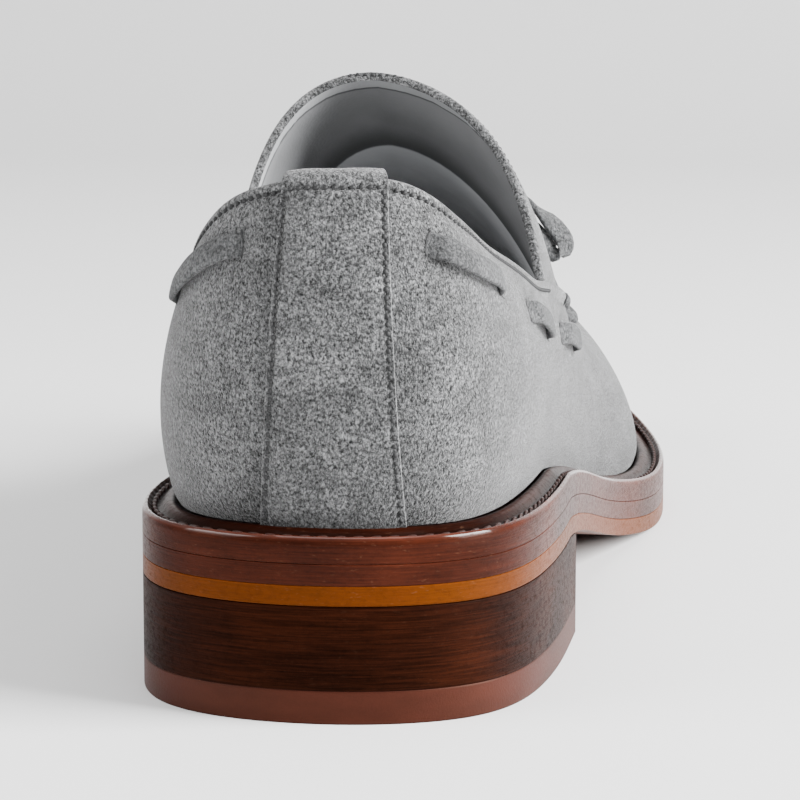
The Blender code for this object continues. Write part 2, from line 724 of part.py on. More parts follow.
def tassel_line(sign):
    """Plan line of a lace end and its tassel, running forwards from the knot: share and distance at a length."""
    begin = share_at(BAND_PLACE)
    total = KNOT_LENGTH / 2 + GAP + END_LENGTH + TASSEL_HEAD + TASSEL_SKIRT
    ahead = share_at(BAND_PLACE + total * 0.97) - begin

    def at(length):
        part = length / total
        spread = TASSEL_SPLAY * (0.22 + 0.78 * min(1.0, 2.1 * part)) + 0.0035 * part
        return begin + ahead * part, sign * spread

    return at


def rest_frame(sign, length):
    a, distance = tassel_line(sign)(length)
    return vamp_frame(a, distance)


def travel_frames(sign, lengths, lifts):
    """Centres along a tassel's line with the line's own direction, sideways and outward directions."""
    frames = [rest_frame(sign, length) for length in lengths]
    centres = np.array([f[0] + f[3] * lift for f, lift in zip(frames, lifts)])
    along = np.gradient(centres, axis=0)
    along /= np.linalg.norm(along, axis=1)[:, None]
    normals = np.array([f[3] for f in frames])
    sideways = np.cross(along, normals)
    sideways /= np.linalg.norm(sideways, axis=1)[:, None]
    return centres, along, sideways, np.cross(sideways, along)


def build_end(sign, word, finish):
    """The short stretch of lace between the knot and a tassel."""
    start = KNOT_LENGTH / 2 + GAP
    lengths = np.linspace(start, start + END_LENGTH - 2 * GAP, 7)
    low, rest = BAND_TOP + GAP + LACE_THICK, APRON_GAP - STEP + TASSEL_RADIUS
    lifts = np.linspace(low, rest, 7)
    centres, _, sideways, outward = travel_frames(sign, lengths, lifts)
    return sweep(f"lace_end_{word}", centres, sideways, outward, LACE_WIDTH * 0.7, LACE_THICK, finish)


def build_tassel(sign, word, finish):
    """A wrapped head with a skirt of leather strips, joined at the head and parted by grooves to the tips."""
    # part, share of its length, half width, half height, groove depth as a share of the radius
    rows = (
        ("head", 0.00, 0.55, 0.55, 0.00),
        ("head", 0.12, 0.95, 0.95, 0.00),
        ("head", 0.50, 1.00, 1.00, 0.00),
        ("head", 0.88, 0.95, 0.95, 0.00),
        ("head", 1.00, 0.86, 0.86, 0.03),
        ("skirt", 0.08, 1.05, 0.92, 0.20),
        ("skirt", 0.40, 1.42, 0.98, 0.30),
        ("skirt", 0.75, 1.70, 0.94, 0.36),
        ("skirt", 1.00, TASSEL_FLARE / TASSEL_RADIUS, 0.90, 0.40),
    )
    start = KNOT_LENGTH / 2 + GAP + END_LENGTH
    lengths, sizes = [], []
    for part, share, wide, tall, groove in rows:
        offset = share * TASSEL_HEAD if part == "head" else TASSEL_HEAD + share * TASSEL_SKIRT
        lengths.append(start + offset)
        sizes.append((wide * TASSEL_RADIUS, tall * TASSEL_RADIUS, groove))
    lifts = [APRON_GAP - STEP + TASSEL_RADIUS] * 5 + [APRON_GAP - STEP + tall for _, tall, _ in sizes[5:]]
    centres, _, sideways, outward = travel_frames(sign, lengths, lifts)
    mesh = bmesh.new()
    grid = []
    for centre, side, up, (wide, tall, groove) in zip(centres, sideways, outward, sizes):
        ring = []
        for strip in range(TASSEL_STRIPS):
            for part, depth in ((0.06, 1.0), (0.22, 0.0), (0.78, 0.0), (0.94, 1.0)):
                angle = 2 * math.pi * (strip + part) / TASSEL_STRIPS
                scale = 1 - groove * depth
                ring.append(centre + side * wide * scale * math.cos(angle) + up * tall * scale * math.sin(angle))
        grid.append(ring)
    verts = rows_of(mesh, grid)
    for first, second in zip(verts, verts[1:]):
        join_rows(mesh, [first, second], closed=True)
    for ring, centre in ((verts[0], centres[0]), (verts[-1], centres[-1])):
        hub = mesh.verts.new(place(centre))
        for i, vertex in enumerate(ring):
            mesh.faces.new((vertex, ring[(i + 1) % len(ring)], hub))
    return make_object(f"tassel_{word}", mesh, finish)


def main():
    for leftover in list(bpy.data.objects):
        bpy.data.objects.remove(leftover)
    suede = material("grey_suede", (0.28, 0.28, 0.28), 0.95)
    lace = material("grey_lace", (0.20, 0.20, 0.20), 0.85)
    dark = material("welt_brown", (0.075, 0.020, 0.012), 0.32)
    mid = material("midsole_brown", (0.060, 0.018, 0.012), 0.36)
    amber = material("outsole_amber", (0.230, 0.065, 0.010), 0.38)
    stack = material("stacked_leather", (0.033, 0.012, 0.007), 0.42)
    lift = material("top_lift_rubber", (0.130, 0.038, 0.024), 0.50)
    lining = material("insole_grey", (0.22, 0.22, 0.22), 0.80)

    def edge(side, a):
        return outline_point(side, a, 0.0)

    def insole_edge(side, a):
        return foot_line(side, a, INSOLE_INSET)

    heel_piece("top_lift", lambda y: 0.0, lambda y: TOP_LIFT, lift)
    heel_piece("heel_stack", lambda y: TOP_LIFT + SEAM, lambda y: sole_bottom(y) - SEAM, stack)
    layer("outsole", edge, sole_bottom, lambda y: sole_bottom(y) + OUTSOLE, amber)
    layer("midsole", edge, midsole_bottom, lambda y: midsole_bottom(y) + MIDSOLE, mid)
    build_welt(dark)
    layer("insole", insole_edge, lambda y: welt_bottom(y), lambda y: welt_top(y) + INSOLE_RISE, lining)
    build_upper(suede)
    build_back_strip(suede)
    build_lace_bars(lace)
    build_band(lace)
    build_knot(lace)
    for sign, word in ((1, "outer"), (-1, "inner")):
        build_loop(sign, word, lace)
        build_end(sign, word, lace)
        build_tassel(sign, word, lace)


main()
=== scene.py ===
"""Looks of a grey suede tassel loafer for the right foot, dressed over its solid model. Metres, +Z up.

The shoe is laid out from the back of the heel (y = 0) with the outer side at +x, and placed() moves every
point into the model's own frame, whose origin lies on the floor under the middle of the sole.
"""

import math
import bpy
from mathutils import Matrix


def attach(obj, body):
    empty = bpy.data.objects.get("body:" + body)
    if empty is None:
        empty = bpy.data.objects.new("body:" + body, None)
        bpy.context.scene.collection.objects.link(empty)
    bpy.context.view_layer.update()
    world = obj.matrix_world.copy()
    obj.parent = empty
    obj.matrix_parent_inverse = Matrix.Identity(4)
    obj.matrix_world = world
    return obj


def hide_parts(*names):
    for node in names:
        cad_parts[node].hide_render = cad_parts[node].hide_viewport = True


bl_info = {
    "name": "Tassel Loafer",
    "version": (1, 0, 0),
    "blender": (4, 5, 0),
    "location": "3D View > Sidebar > Loafer",
    "description": "Dresses a tassel loafer with suede, laces, tassels, stitching and a layered sole",
    "category": "Mesh",
}

import bpy
import bmesh
import numpy as np
from bpy.props import FloatProperty, FloatVectorProperty, IntProperty, PointerProperty
from mathutils import Vector

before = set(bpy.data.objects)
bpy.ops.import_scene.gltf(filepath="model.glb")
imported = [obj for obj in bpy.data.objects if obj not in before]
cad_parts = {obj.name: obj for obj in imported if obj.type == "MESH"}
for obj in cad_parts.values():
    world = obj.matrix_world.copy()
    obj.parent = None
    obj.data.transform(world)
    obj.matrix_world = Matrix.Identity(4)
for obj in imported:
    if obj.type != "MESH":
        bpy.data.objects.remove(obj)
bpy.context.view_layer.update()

# Sizes of the sole, as in the solid model
SOLE_LENGTH = 0.292
HEEL_WIDTH = 0.075
WAIST_WIDTH = 0.068
BALL_WIDTH = 0.101
HEEL_BREAST = 0.0755
BREAST_HOLLOW = 0.0025
HEEL_HEIGHT = 0.0209
TOP_LIFT = 0.0058
OUTSOLE = 0.0034
MIDSOLE = 0.0036
WELT = 0.0048
TOE_SPRING = 0.0095
FLAT_START = 0.188
FLAT_END = 0.213
WAIST_START = 0.066
WAIST_FALL = 1.35
SEAM = 0.00025

# Sizes of the upper, as in the solid model
BACK_HEIGHT = 0.0948
INSTEP_HEIGHT = 0.1057
NOTCH_PLACE = 0.0915
THROAT_PLACE = 0.1130
WALL = 0.0024
STEP = 0.0009
SWELL = 0.0100
HEEL_AXIS = 0.036
TOE_AXIS = 0.262
INSOLE_RISE = 0.0010

# Back strip, lace, bow and tassels, as in the solid model
STRIP_WIDTH_LOW = 0.0255
STRIP_WIDTH_TOP = 0.0182
STRIP_THICK = 0.0009
STRIP_SHIFT = 0.0027
STRIP_TUCK = 0.0080
GAP = 0.00035
APRON_GAP = 0.0006
LACE_WIDTH = 0.0044
LACE_THICK = 0.0014
LACE_DROP = 0.0092
LACE_START = 0.0172
LACE_BAR = 0.0240
LACE_GAP = 0.0235
LACE_BARS = 3
BAND_PLACE = 0.1370
BOW_REACH = 0.0415
BOW_HEIGHT = 0.0052
BOW_LEAN = 0.0035
KNOT_LENGTH = 0.0095
KNOT_WIDTH = 0.0085
KNOT_HEIGHT = 0.0068
END_LENGTH = 0.0125
TASSEL_HEAD = 0.0095
TASSEL_SKIRT = 0.0290
TASSEL_RADIUS = 0.0040
TASSEL_FLARE = 0.0074
TASSEL_SPLAY = 0.0100

# Details that the solid model leaves out
COLLAR_SEAM = 0.0014
TONGUE_SEAM = 0.0032
STITCH_INSET = 0.0009
GATHER_PITCH = 0.0036
APRON_TUCK = 0.0030
INSOLE_LAP = 0.0003
LINING_SEAM = NOTCH_PLACE + 0.044
SEAM_SINK = 0.00012
SLIT_HEIGHT = 0.0050
SLIT_PAST = 0.0002
FRINGE_WIDTH = 0.0021
FRINGE_THICK = 0.00085
LOOP_TURN = math.radians(66)
LOOP_SAG = 0.0029
LOOP_DROOP = 0.0045
TASSEL_SET = APRON_GAP - STEP + TASSEL_RADIUS

# t at which the back strip starts above the welt
STRIP_FOOT = 0.004

# Points along each side of the sole's edge, and the share of it over which the collar's two heights part
DENSE = 1201
SEAM_BLEND = 0.05
WIDTHS = {"heel": HEEL_WIDTH, "waist": WAIST_WIDTH, "ball": BALL_WIDTH}

# Sole edge from above: up the outer side and down the inner one, as shares of the length and a width
OUTLINE = (
    ("heel", 0.000, 0.000),
    ("heel", 0.037, 0.380),
    ("heel", 0.123, 0.493),
    ("waist", 0.245, 0.566),
    ("waist", 0.360, 0.572),
    ("ball", 0.490, 0.408),
    ("ball", 0.612, 0.460),
    ("ball", 0.715, 0.455),
    ("ball", 0.840, 0.372),
    ("ball", 0.945, 0.205),
    ("ball", 1.000, -0.085),
    ("ball", 0.962, -0.325),
    ("ball", 0.878, -0.470),
    ("ball", 0.785, -0.530),
    ("ball", 0.695, -0.534),
    ("ball", 0.570, -0.455),
    ("waist", 0.425, -0.500),
    ("waist", 0.320, -0.486),
    ("waist", 0.225, -0.520),
    ("heel", 0.123, -0.493),
    ("heel", 0.037, -0.380),
)
TOE_ROW = 10

# The most that the welt reaches past the upper, and its shares of that along the sole
WELT_REACH = 0.0065
REACH = (
    # along, reach
    (0.00, 1.00),
    (0.14, 0.92),
    (0.34, 0.72),
    (0.50, 0.85),
    (0.66, 0.95),
    (1.00, 0.95),
)

# Cross-sections of the upper, as in the solid model
SECTIONS = (
    # along, ridge, shift, outer swell, rise, shoulder, crown, inner swell, rise, shoulder, crown
    (0.020, 1.300, 0.000, 0.70, 0.30, 0.06, 0.76, 0.70, 0.30, 0.06, 0.76),
    (0.055, 1.060, 0.000, 0.90, 0.37, 0.12, 0.94, 0.90, 0.37, 0.17, 0.94),
    (0.100, 0.925, 0.000, 0.98, 0.43, 0.18, 1.00, 1.00, 0.43, 0.24, 1.00),
    (0.200, 0.930, -0.010, 0.60, 0.46, 0.29, 1.00, 1.00, 0.46, 0.22, 1.00),
    (0.300, 0.990, -0.040, 0.20, 0.54, 0.32, 0.97, 1.00, 0.55, 0.00, 1.00),
    (0.385, 1.003, -0.060, 0.20, 0.55, 0.31, 0.96, 1.00, 0.60, -0.12, 1.00),
    (0.460, 0.880, -0.065, 0.22, 0.44, 0.41, 0.95, 0.60, 0.55, 0.12, 1.00),
    (0.560, 0.745, -0.068, 0.10, 0.27, 0.44, 0.95, 0.40, 0.48, 0.30, 1.00),
    (0.680, 0.600, -0.070, 0.10, 0.28, 0.45, 0.96, 0.30, 0.48, 0.40, 0.99),
    (0.800, 0.505, -0.077, 0.15, 0.42, 0.46, 0.98, 0.25, 0.54, 0.44, 0.99),
    (0.900, 0.455, -0.085, 0.18, 0.54, 0.43, 1.00, 0.20, 0.58, 0.42, 1.00),
    (1.000, 0.440, -0.085, 0.20, 0.62, 0.40, 1.00, 0.20, 0.62, 0.40, 1.00),
)

# Height of the skirt's top edge as a share of BACK_HEIGHT
EDGE = (
    # along, outer side, inner side
    (0.000, 1.000, 1.000),
    (0.030, 0.982, 0.962),
    (0.055, 0.925, 0.888),
    (0.085, 0.882, 0.842),
    (0.120, 0.840, 0.812),
    (0.160, 0.802, 0.792),
    (0.210, 0.758, 0.768),
    (0.260, 0.718, 0.738),
    (0.313, 0.692, 0.712),
    (0.390, 0.640, 0.660),
    (0.470, 0.588, 0.610),
    (0.560, 0.534, 0.560),
    (0.660, 0.482, 0.512),
    (0.760, 0.448, 0.478),
    (0.860, 0.427, 0.442),
    (1.000, 0.424, 0.424),
)


# Shape of the last and the sole

class Curve:
    """A smooth curve through rows of values at rising knots, with free ends or closed on itself."""

    def __init__(self, knots, values, closed=False):
        self.knots = np.asarray(knots, float)
        self.values = np.asarray(values, float).reshape(len(self.knots), -1)
        count = len(self.knots)
        step = np.diff(self.knots)
        slope = np.diff(self.values, axis=0) / step[:, None]
        system = np.zeros((count, count))
        right = np.zeros_like(self.values)
        for i in range(1, count - 1):
            system[i, i - 1:i + 2] = step[i - 1], 2 * (step[i - 1] + step[i]), step[i]
            right[i] = 6 * (slope[i] - slope[i - 1])
        if closed:
            system[0, 0], system[0, -1] = 1, -1
            system[-1, :2] = 2 * step[0], step[0]
            system[-1, -2:] += step[-1], 2 * step[-1]
            right[-1] = 6 * (slope[0] - slope[-1])
        else:
            system[0, 0] = system[-1, -1] = 1
        self.bend = np.linalg.solve(system, right)

    def __call__(self, at):
        at = np.asarray(at, float)
        i = np.clip(np.searchsorted(self.knots, at, side="right") - 1, 0, len(self.knots) - 2)
        step = self.knots[i + 1] - self.knots[i]
        b = ((at - self.knots[i]) / step)[..., None]
        a = 1 - b
        step = step[..., None]
        bent = ((a ** 3 - a) * self.bend[i] + (b ** 3 - b) * self.bend[i + 1]) * step ** 2 / 6
        return a * self.values[i] + b * self.values[i + 1] + bent


def columns(table):
    """A table's first column as knots and the others as a smooth curve."""
    rows = np.array(table, float)
    return Curve(rows[:, 0], rows[:, 1:])


def unit(vectors):
    """The same vectors at length one."""
    vectors = np.asarray(vectors, float)
    return vectors / np.linalg.norm(vectors, axis=-1)[..., None]


def running(points):
    """Running length along a row of points."""
    return np.concatenate([[0], np.cumsum(np.linalg.norm(np.diff(points, axis=0), axis=1))])


def at_lengths(at, run, rows):
    """Points, or other rows of values, at running lengths along their row."""
    return np.stack([np.interp(at, run, column) for column in rows.T], axis=-1)


def sole_edge():
    """Both sides of the sole's edge as dense points from heel to toe, and their inward directions."""
    points = [(across * WIDTHS[width], along * SOLE_LENGTH) for width, along, across in OUTLINE]
    points = np.array(points + points[:1])
    knots = running(points)
    curve = Curve(knots, points, closed=True)
    sides = {}
    for side, start, end in ((1, 0, knots[TOE_ROW]), (-1, knots[-1], knots[TOE_ROW])):
        dense = curve(np.linspace(start, end, 4 * DENSE))
        run = running(dense)
        even = np.linspace(0, run[-1], DENSE)
        edge = at_lengths(even, run, dense)
        tangent = unit(np.gradient(edge, axis=0))
        sides[side] = (edge, np.stack([-side * tangent[:, 1], side * tangent[:, 0]], axis=1))
    return sides


SIDES = sole_edge()
SHARES = np.linspace(0, 1, DENSE)
REACH_CURVE = columns(REACH)
SECTION_CURVE = columns(SECTIONS)
EDGE_CURVE = columns(EDGE)
CENTRE_X = (SIDES[1][0][:, 0].max() + SIDES[-1][0][:, 0].min()) / 2


def placed(points):
    """Points of the heel's frame moved into the model's frame."""
    return np.asarray(points, float) - np.array([CENTRE_X, SOLE_LENGTH / 2, 0.0])


def read(side, a, kind):
    """Edge points (kind 0) or inward directions (kind 1) at shares a of the way from heel to toe."""
    return at_lengths(a, SHARES, SIDES[side][kind])


def welt_reach(y):
    """How far the welt reaches past the upper at distance y from the heel."""
    return WELT_REACH * REACH_CURVE(y / SOLE_LENGTH)[..., 0]


def outline_point(side, a, inset):
    """Plan point of the sole's edge at share a, moved inwards by inset."""
    return read(side, a, 0) + read(side, a, 1) * np.asarray(inset)[..., None]


def foot_line(side, a, extra=0.0):
    """Plan point of the line where the upper meets the welt, moved further in by extra."""
    return outline_point(side, a, welt_reach(read(side, a, 0)[..., 1]) + extra)


def sole_bottom(y):
    """Height of the outsole's underside."""
    y = np.asarray(y, float)
    fall = np.clip((y - WAIST_START) / (FLAT_START - WAIST_START), 0, 1)
    waist = HEEL_HEIGHT * (1 - fall) ** 2 * (1 + WAIST_FALL * fall)
    toe = TOE_SPRING * (np.clip(y - FLAT_END, 0, None) / (SOLE_LENGTH - FLAT_END)) ** 2
    return waist + toe


def midsole_bottom(y):
    return sole_bottom(y) + OUTSOLE + SEAM


def welt_bottom(y):
    return midsole_bottom(y) + MIDSOLE + SEAM


def welt_top(y):
    return welt_bottom(y) + WELT


def form(side, a, t):
    """Point of the upper's outer form: share a from heel to toe, t from the foot line up to the ridge."""
    side, a, t = np.broadcast_arrays(side, np.asarray(a, float), np.asarray(t, float))
    side = np.where((a < 0) | (a > 1), -side, side)
    a = np.abs(a)
    a = np.where(a > 1, 2 - a, a)
    side = np.where(t > 1, -side, side)
    t = np.where(t > 1, 2 - t, t)
    outer, inner = foot_line(1, a), foot_line(-1, a)
    plan = np.where((side > 0)[..., None], outer, inner)
    y_mean = (outer[..., 1] + inner[..., 1]) / 2
    values = np.moveaxis(SECTION_CURVE(y_mean / SOLE_LENGTH), -1, 0)
    ridge, shift = values[:2]
    swell, rise, shoulder, crown = np.where(side > 0, values[2:6], values[6:10])
    heel_pull = np.clip(1 - y_mean / (2 * HEEL_AXIS), 0, 1) ** 2 * HEEL_AXIS
    toe_room = SOLE_LENGTH - TOE_AXIS
    toe_pull = np.clip((y_mean - TOE_AXIS + toe_room) / (2 * toe_room), 0, 1) ** 2 * toe_room
    spine = np.stack([shift * BALL_WIDTH, y_mean + heel_pull - toe_pull], axis=-1)
    way = spine - plan
    reach = np.linalg.norm(way, axis=-1)
    foot = welt_top(plan[..., 1]) + SEAM
    tall = ridge * INSTEP_HEIGHT - foot
    low, high, top = 3 * (1 - t) ** 2 * t, 3 * (1 - t) * t ** 2, t ** 3
    inward = -low * swell * SWELL + high * shoulder * reach + top * reach
    up = foot + tall * (low * rise + high * crown + top)
    flat = plan + way / reach[..., None] * inward[..., None]
    return np.concatenate([flat, up[..., None]], axis=-1)


def frame_at(side, a, t):
    """Point of the form, its unit directions towards the toe and towards the ridge, and its outward normal."""
    da, dt = 0.004, 0.01
    point = form(side, a, t)
    side, a, t = np.broadcast_arrays(side, np.asarray(a, float), np.asarray(t, float))
    a = np.where((t > 0.98) & (a > 1 - 3 * da), 1 - 3 * da, a)
    ahead = unit(form(side, a + da, t) - form(side, a - da, t))
    above = unit(form(side, a, t + dt) - form(side, a, np.clip(t - dt, 0, None)))
    normal = unit(np.cross(ahead, above) * side[..., None])
    return point, ahead, above, normal


def skin(side, a, t, lift=0.0):
    """Point lying lift outside the upper's outer form."""
    point, _, _, normal = frame_at(side, a, t)
    return point + normal * np.asarray(lift)[..., None]


def share_at(y):
    """Share a whose station lies at distance y from the back of the sole."""
    mean = (foot_line(1, SHARES)[:, 1] + foot_line(-1, SHARES)[:, 1]) / 2
    return float(np.interp(y, mean, SHARES))


def t_at_height(side, a, height):
    """The t at which the form at station a reaches a height over the floor."""
    ts = np.linspace(0, 1, 201)
    return float(np.interp(height, form(side, a, ts)[:, 2], ts))


NOTCH = share_at(NOTCH_PLACE)
THROAT = share_at(THROAT_PLACE)


def edge_t(side, a):
    """t of the skirt's top edge: the collar, then the apron's border."""
    y = (foot_line(1, a)[1] + foot_line(-1, a)[1]) / 2
    outer, inner = EDGE_CURVE(y / SOLE_LENGTH)
    apart = min(1.0, a / SEAM_BLEND)
    apart = apart * apart * (3 - 2 * apart)
    share = (outer + inner) / 2 + (outer - inner) / 2 * side * apart
    return t_at_height(side, a, BACK_HEIGHT * share)


NOTCH_HEIGHT = {side: form(side, NOTCH, edge_t(side, NOTCH))[2] for side in (1, -1)}
THROAT_HEIGHT = form(1, THROAT, 1.0)[2]


def top_t(side, a):
    """t of the upper's last row: the collar, the tongue's rising edge, then the ridge."""
    if a <= NOTCH:
        return edge_t(side, a)
    if a >= THROAT - 1e-9:
        return 1.0
    rise = (a - NOTCH) / (THROAT - NOTCH)
    return t_at_height(side, a, NOTCH_HEIGHT[side] + (THROAT_HEIGHT - NOTCH_HEIGHT[side]) * rise)


def depth_t(side, a, top, depths, low=0.0):
    """The t at given distances down a section from top, stopping at low."""
    ts = np.linspace(top, low, 90)
    return np.interp(depths, running(form(side, a, ts)), ts)


def t_below(side, a, top, depth):
    """The t at one distance down a section from top."""
    return float(depth_t(side, a, top, [depth])[0])


def section_length(side, a, low, high):
    """Length along a section between two t."""
    return running(form(side, a, np.linspace(low, high, 60)))[-1]


def length_per_t(side, a, edge):
    """Metres for one unit of t, just below a section's edge."""
    return np.linalg.norm(form(side, a, edge) - form(side, a, edge - 0.05)) / 0.05


def smooth(low, high, value):
    """0 below low, 1 above high, and a smooth rise between."""
    x = np.clip((np.asarray(value, float) - low) / (high - low), 0, 1)
    return x * x * (3 - 2 * x)


def bell(value, middle, width):
    """A smooth bump of height 1."""
    return np.exp(-((np.asarray(value, float) - middle) / width) ** 2)


def circle(count):
    """Angles once round."""
    return np.linspace(0, 2 * math.pi, count, endpoint=False)


def squared(values, power):
    """Values from -1 to 1 pushed outwards, which turns a circle's into those of a rounded oblong."""
    return np.sign(values) * np.abs(values) ** power


# Settings

class LoaferSizes(bpy.types.PropertyGroup):
    """Sizes of the details that lie on the solid model."""

    stitch_pitch: FloatProperty(name="Seam pitch", description="From stitch to stitch on the upper",
                                default=0.00150, min=0.001, max=0.005, unit="LENGTH")
    thread: FloatProperty(name="Seam thread", description="Thickness of the thread on the upper",
                          default=0.00078, min=0.0002, max=0.001, unit="LENGTH")
    welt_pitch: FloatProperty(name="Welt pitch", description="From stitch to stitch on the welt",
                              default=0.0031, min=0.002, max=0.006, unit="LENGTH")
    welt_thread: FloatProperty(name="Welt thread", description="Thickness of the thread on the welt",
                               default=0.00085, min=0.0004, max=0.0015, unit="LENGTH")
    collar_bead: FloatProperty(name="Collar bead", description="Height of the folded edge round the collar",
                               default=0.00035, min=0.0, max=0.001, unit="LENGTH")
    apron_ridge: FloatProperty(name="Apron ridge", description="Height of the seam that frames the apron",
                               default=0.0008, min=0.0, max=0.002, unit="LENGTH")
    pleat: FloatProperty(name="Pleats", description="Depth of the gathers round the toe",
                         default=0.00022, min=0.0, max=0.001, unit="LENGTH")
    strips: IntProperty(name="Fringe strips", description="Strips in each layer of a tassel",
                        default=11, min=5, max=20)
    nap: FloatProperty(name="Nap", description="Depth of the suede's nap",
                       default=0.00036, min=0.0, max=0.001, unit="LENGTH")


class LoaferColours(bpy.types.PropertyGroup):
    """Colours of the materials."""

    suede: FloatVectorProperty(name="Suede", description="Grey of the suede", subtype="COLOR",
                               default=(0.081, 0.0819, 0.0834), min=0, max=1)
    lace: FloatVectorProperty(name="Lace", description="Grey of lace and tassels", subtype="COLOR",
                              default=(0.074, 0.0750, 0.0765), min=0, max=1)
    lining: FloatVectorProperty(name="Lining", description="Grey of the lining", subtype="COLOR",
                                default=(0.220, 0.223, 0.228), min=0, max=1)
    insole: FloatVectorProperty(name="Insole", description="Grey of the insole", subtype="COLOR",
                                default=(0.150, 0.153, 0.157), min=0, max=1)
    thread: FloatVectorProperty(name="Thread", description="Thread of the upper's seams", subtype="COLOR",
                                default=(0.013, 0.0133, 0.0140), min=0, max=1)
    welt: FloatVectorProperty(name="Welt", description="Brown of welt and midsole", subtype="COLOR",
                              default=(0.0245, 0.0054, 0.0028), min=0, max=1)
    outsole: FloatVectorProperty(name="Outsole", description="Amber of the outsole's edge", subtype="COLOR",
                                 default=(0.092, 0.0230, 0.0022), min=0, max=1)
    stack: FloatVectorProperty(name="Stacked heel", description="Dark brown of the heel", subtype="COLOR",
                               default=(0.0085, 0.0025, 0.0015), min=0, max=1)
    lift: FloatVectorProperty(name="Top lift", description="Red brown of the top lift", subtype="COLOR",
                              default=(0.035, 0.0083, 0.0050), min=0, max=1)


class LoaferStage(bpy.types.PropertyGroup):
    """Floor, lights and camera."""

    floor: FloatVectorProperty(name="Floor", description="Colour of the floor", subtype="COLOR",
                               default=(0.84, 0.84, 0.84), min=0, max=1)
    key: FloatProperty(name="Key light", description="Power of the light from the right",
                       default=90.0, min=0, subtype="POWER", unit="POWER")
    fill: FloatProperty(name="Fill light", description="Power of the light from the left",
                        default=6.0, min=0, subtype="POWER", unit="POWER")
    sky: FloatProperty(name="Sky", description="Strength of the light from all round", default=0.45, min=0)
    lens: FloatProperty(name="Lens", description="Focal length of the camera in millimetres",
                        default=150.0, min=20)


# Mesh building

class Shell:
    """Points and faces of one piece while it is put together, each with a tone that its finish reads."""

    def __init__(self, name):
        self.name = name
        self.points, self.tones, self.marks, self.faces, self.finish = [], [], [], [], []
        self.count = 0

    def add(self, points, faces, finish=0, tone=1.0, mark=0.0):
        points = np.asarray(points, float).reshape(-1, 3)
        self.points.append(points)
        self.tones.append(np.broadcast_to(np.asarray(tone, float), len(points)))
        self.marks.append(np.broadcast_to(np.asarray(mark, float), len(points)))
        self.faces += [tuple(int(i) + self.count for i in face) for face in faces]
        self.finish += [finish] * len(faces)
        self.count += len(points)

    def sheet(self, grid, out, finish=0, tone=1.0, mark=0.0, around=False):
        """Adds rows of points as quads. out holds outward directions, and around joins each row's ends."""
        grid = np.asarray(grid, float)
        rows, cols = grid.shape[:2]
        index = np.arange(rows * cols).reshape(rows, cols)
        if around:
            index = np.concatenate([index, index[:, :1]], axis=1)
        quads = np.stack([index[:-1, :-1], index[:-1, 1:], index[1:, 1:], index[1:, :-1]], axis=-1).reshape(-1, 4)
        flat = grid.reshape(-1, 3)
        outward = np.broadcast_to(np.asarray(out, float), grid.shape).reshape(-1, 3)
        cross = np.cross(flat[quads[:, 2]] - flat[quads[:, 0]], flat[quads[:, 3]] - flat[quads[:, 1]])
        if (cross * outward[quads[:, 0]]).sum() < 0:
            quads = quads[:, ::-1]
        tone, mark = (np.broadcast_to(np.asarray(v, float), (rows, cols)).reshape(-1) for v in (tone, mark))
        self.add(flat, quads, finish, tone, mark)

    def columns(self, grid, out, tone, around=True, **options):
        """Adds columns of points as quads, with tones in columns too."""
        grid, out = (np.array(v).transpose(1, 0, 2) for v in (grid, out))
        self.sheet(grid, tone=np.array(tone).T, around=around, out=out, **options)

    def tube(self, rings, centres, **options):
        """Adds rings of points round a row of centres."""
        rings = np.array(rings)
        self.sheet(rings, around=True, out=rings - centres[:, None], **options)

    def rod(self, rings, centres, tone=1.0):
        """Adds a tube and closes both of its ends."""
        self.tube(rings, centres, tone=tone)
        self.cap(rings[0], out=centres[0] - centres[1])
        self.cap(rings[-1], out=centres[-1] - centres[-2])

    def cap(self, ring, out):
        """Closes a ring of points with a fan round its middle."""
        ring = np.asarray(ring, float)
        count = len(ring)
        faces = [(i, (i + 1) % count, count) for i in range(count)]
        middle = ring.mean(axis=0)
        if np.dot(np.cross(ring[0] - middle, ring[1] - middle), out) < 0:
            faces = [face[::-1] for face in faces]
        self.add(np.concatenate([ring, middle[None]]), faces)

    def make(self, materials, slot, replaces=(), weld=0.000001):
        """Turns what was gathered into an object that rides with the shoe."""
        data = bpy.data.meshes.new(self.name)
        data.from_pydata(placed(np.concatenate(self.points)).tolist(), [], self.faces)
        data.polygons.foreach_set("material_index", self.finish)
        for name, values in (("tone", self.tones), ("mark", self.marks)):
            data.attributes.new(name, "FLOAT", "POINT").data.foreach_set("value", np.concatenate(values))
        for material in materials:
            data.materials.append(material)
        mesh = bmesh.new()
        mesh.from_mesh(data)
        bmesh.ops.remove_doubles(mesh, verts=mesh.verts, dist=weld)
        mesh.to_mesh(data)
        mesh.free()
        data.shade_smooth()
        data.set_sharp_from_angle(angle=math.radians(50))
        piece = bpy.data.objects.new(self.name, data)
        bpy.context.scene.collection.objects.link(piece)
        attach(piece, "root")
        if replaces:
            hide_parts(*replaces)
        return piece


def both_sides(half):
    """(side, share) pairs up the outer side and back down the inner one."""
    return [(1, a) for a in half] + [(-1, a) for a in half[-2:0:-1]]


def ring_stations():
    """Stations round the upper, with the notch and the top of the throat hit exactly."""
    collar = np.linspace(0, NOTCH, 60)
    throat = NOTCH + (THROAT - NOTCH) * np.sin(np.linspace(0, math.pi / 2, 26))
    forepart = np.linspace(THROAT, 1, 96)
    return both_sides(np.concatenate([collar, throat[1:], forepart[1:]]))


def sole_stations(count):
    """Shares round half the sole, closer together at the heel and the toe."""
    even = np.linspace(0, 1, count)
    return even - 0.04 * np.sin(2 * math.pi * even)


def around_sole(count):
    """Stations all round the sole."""
    return both_sides(sole_stations(count))


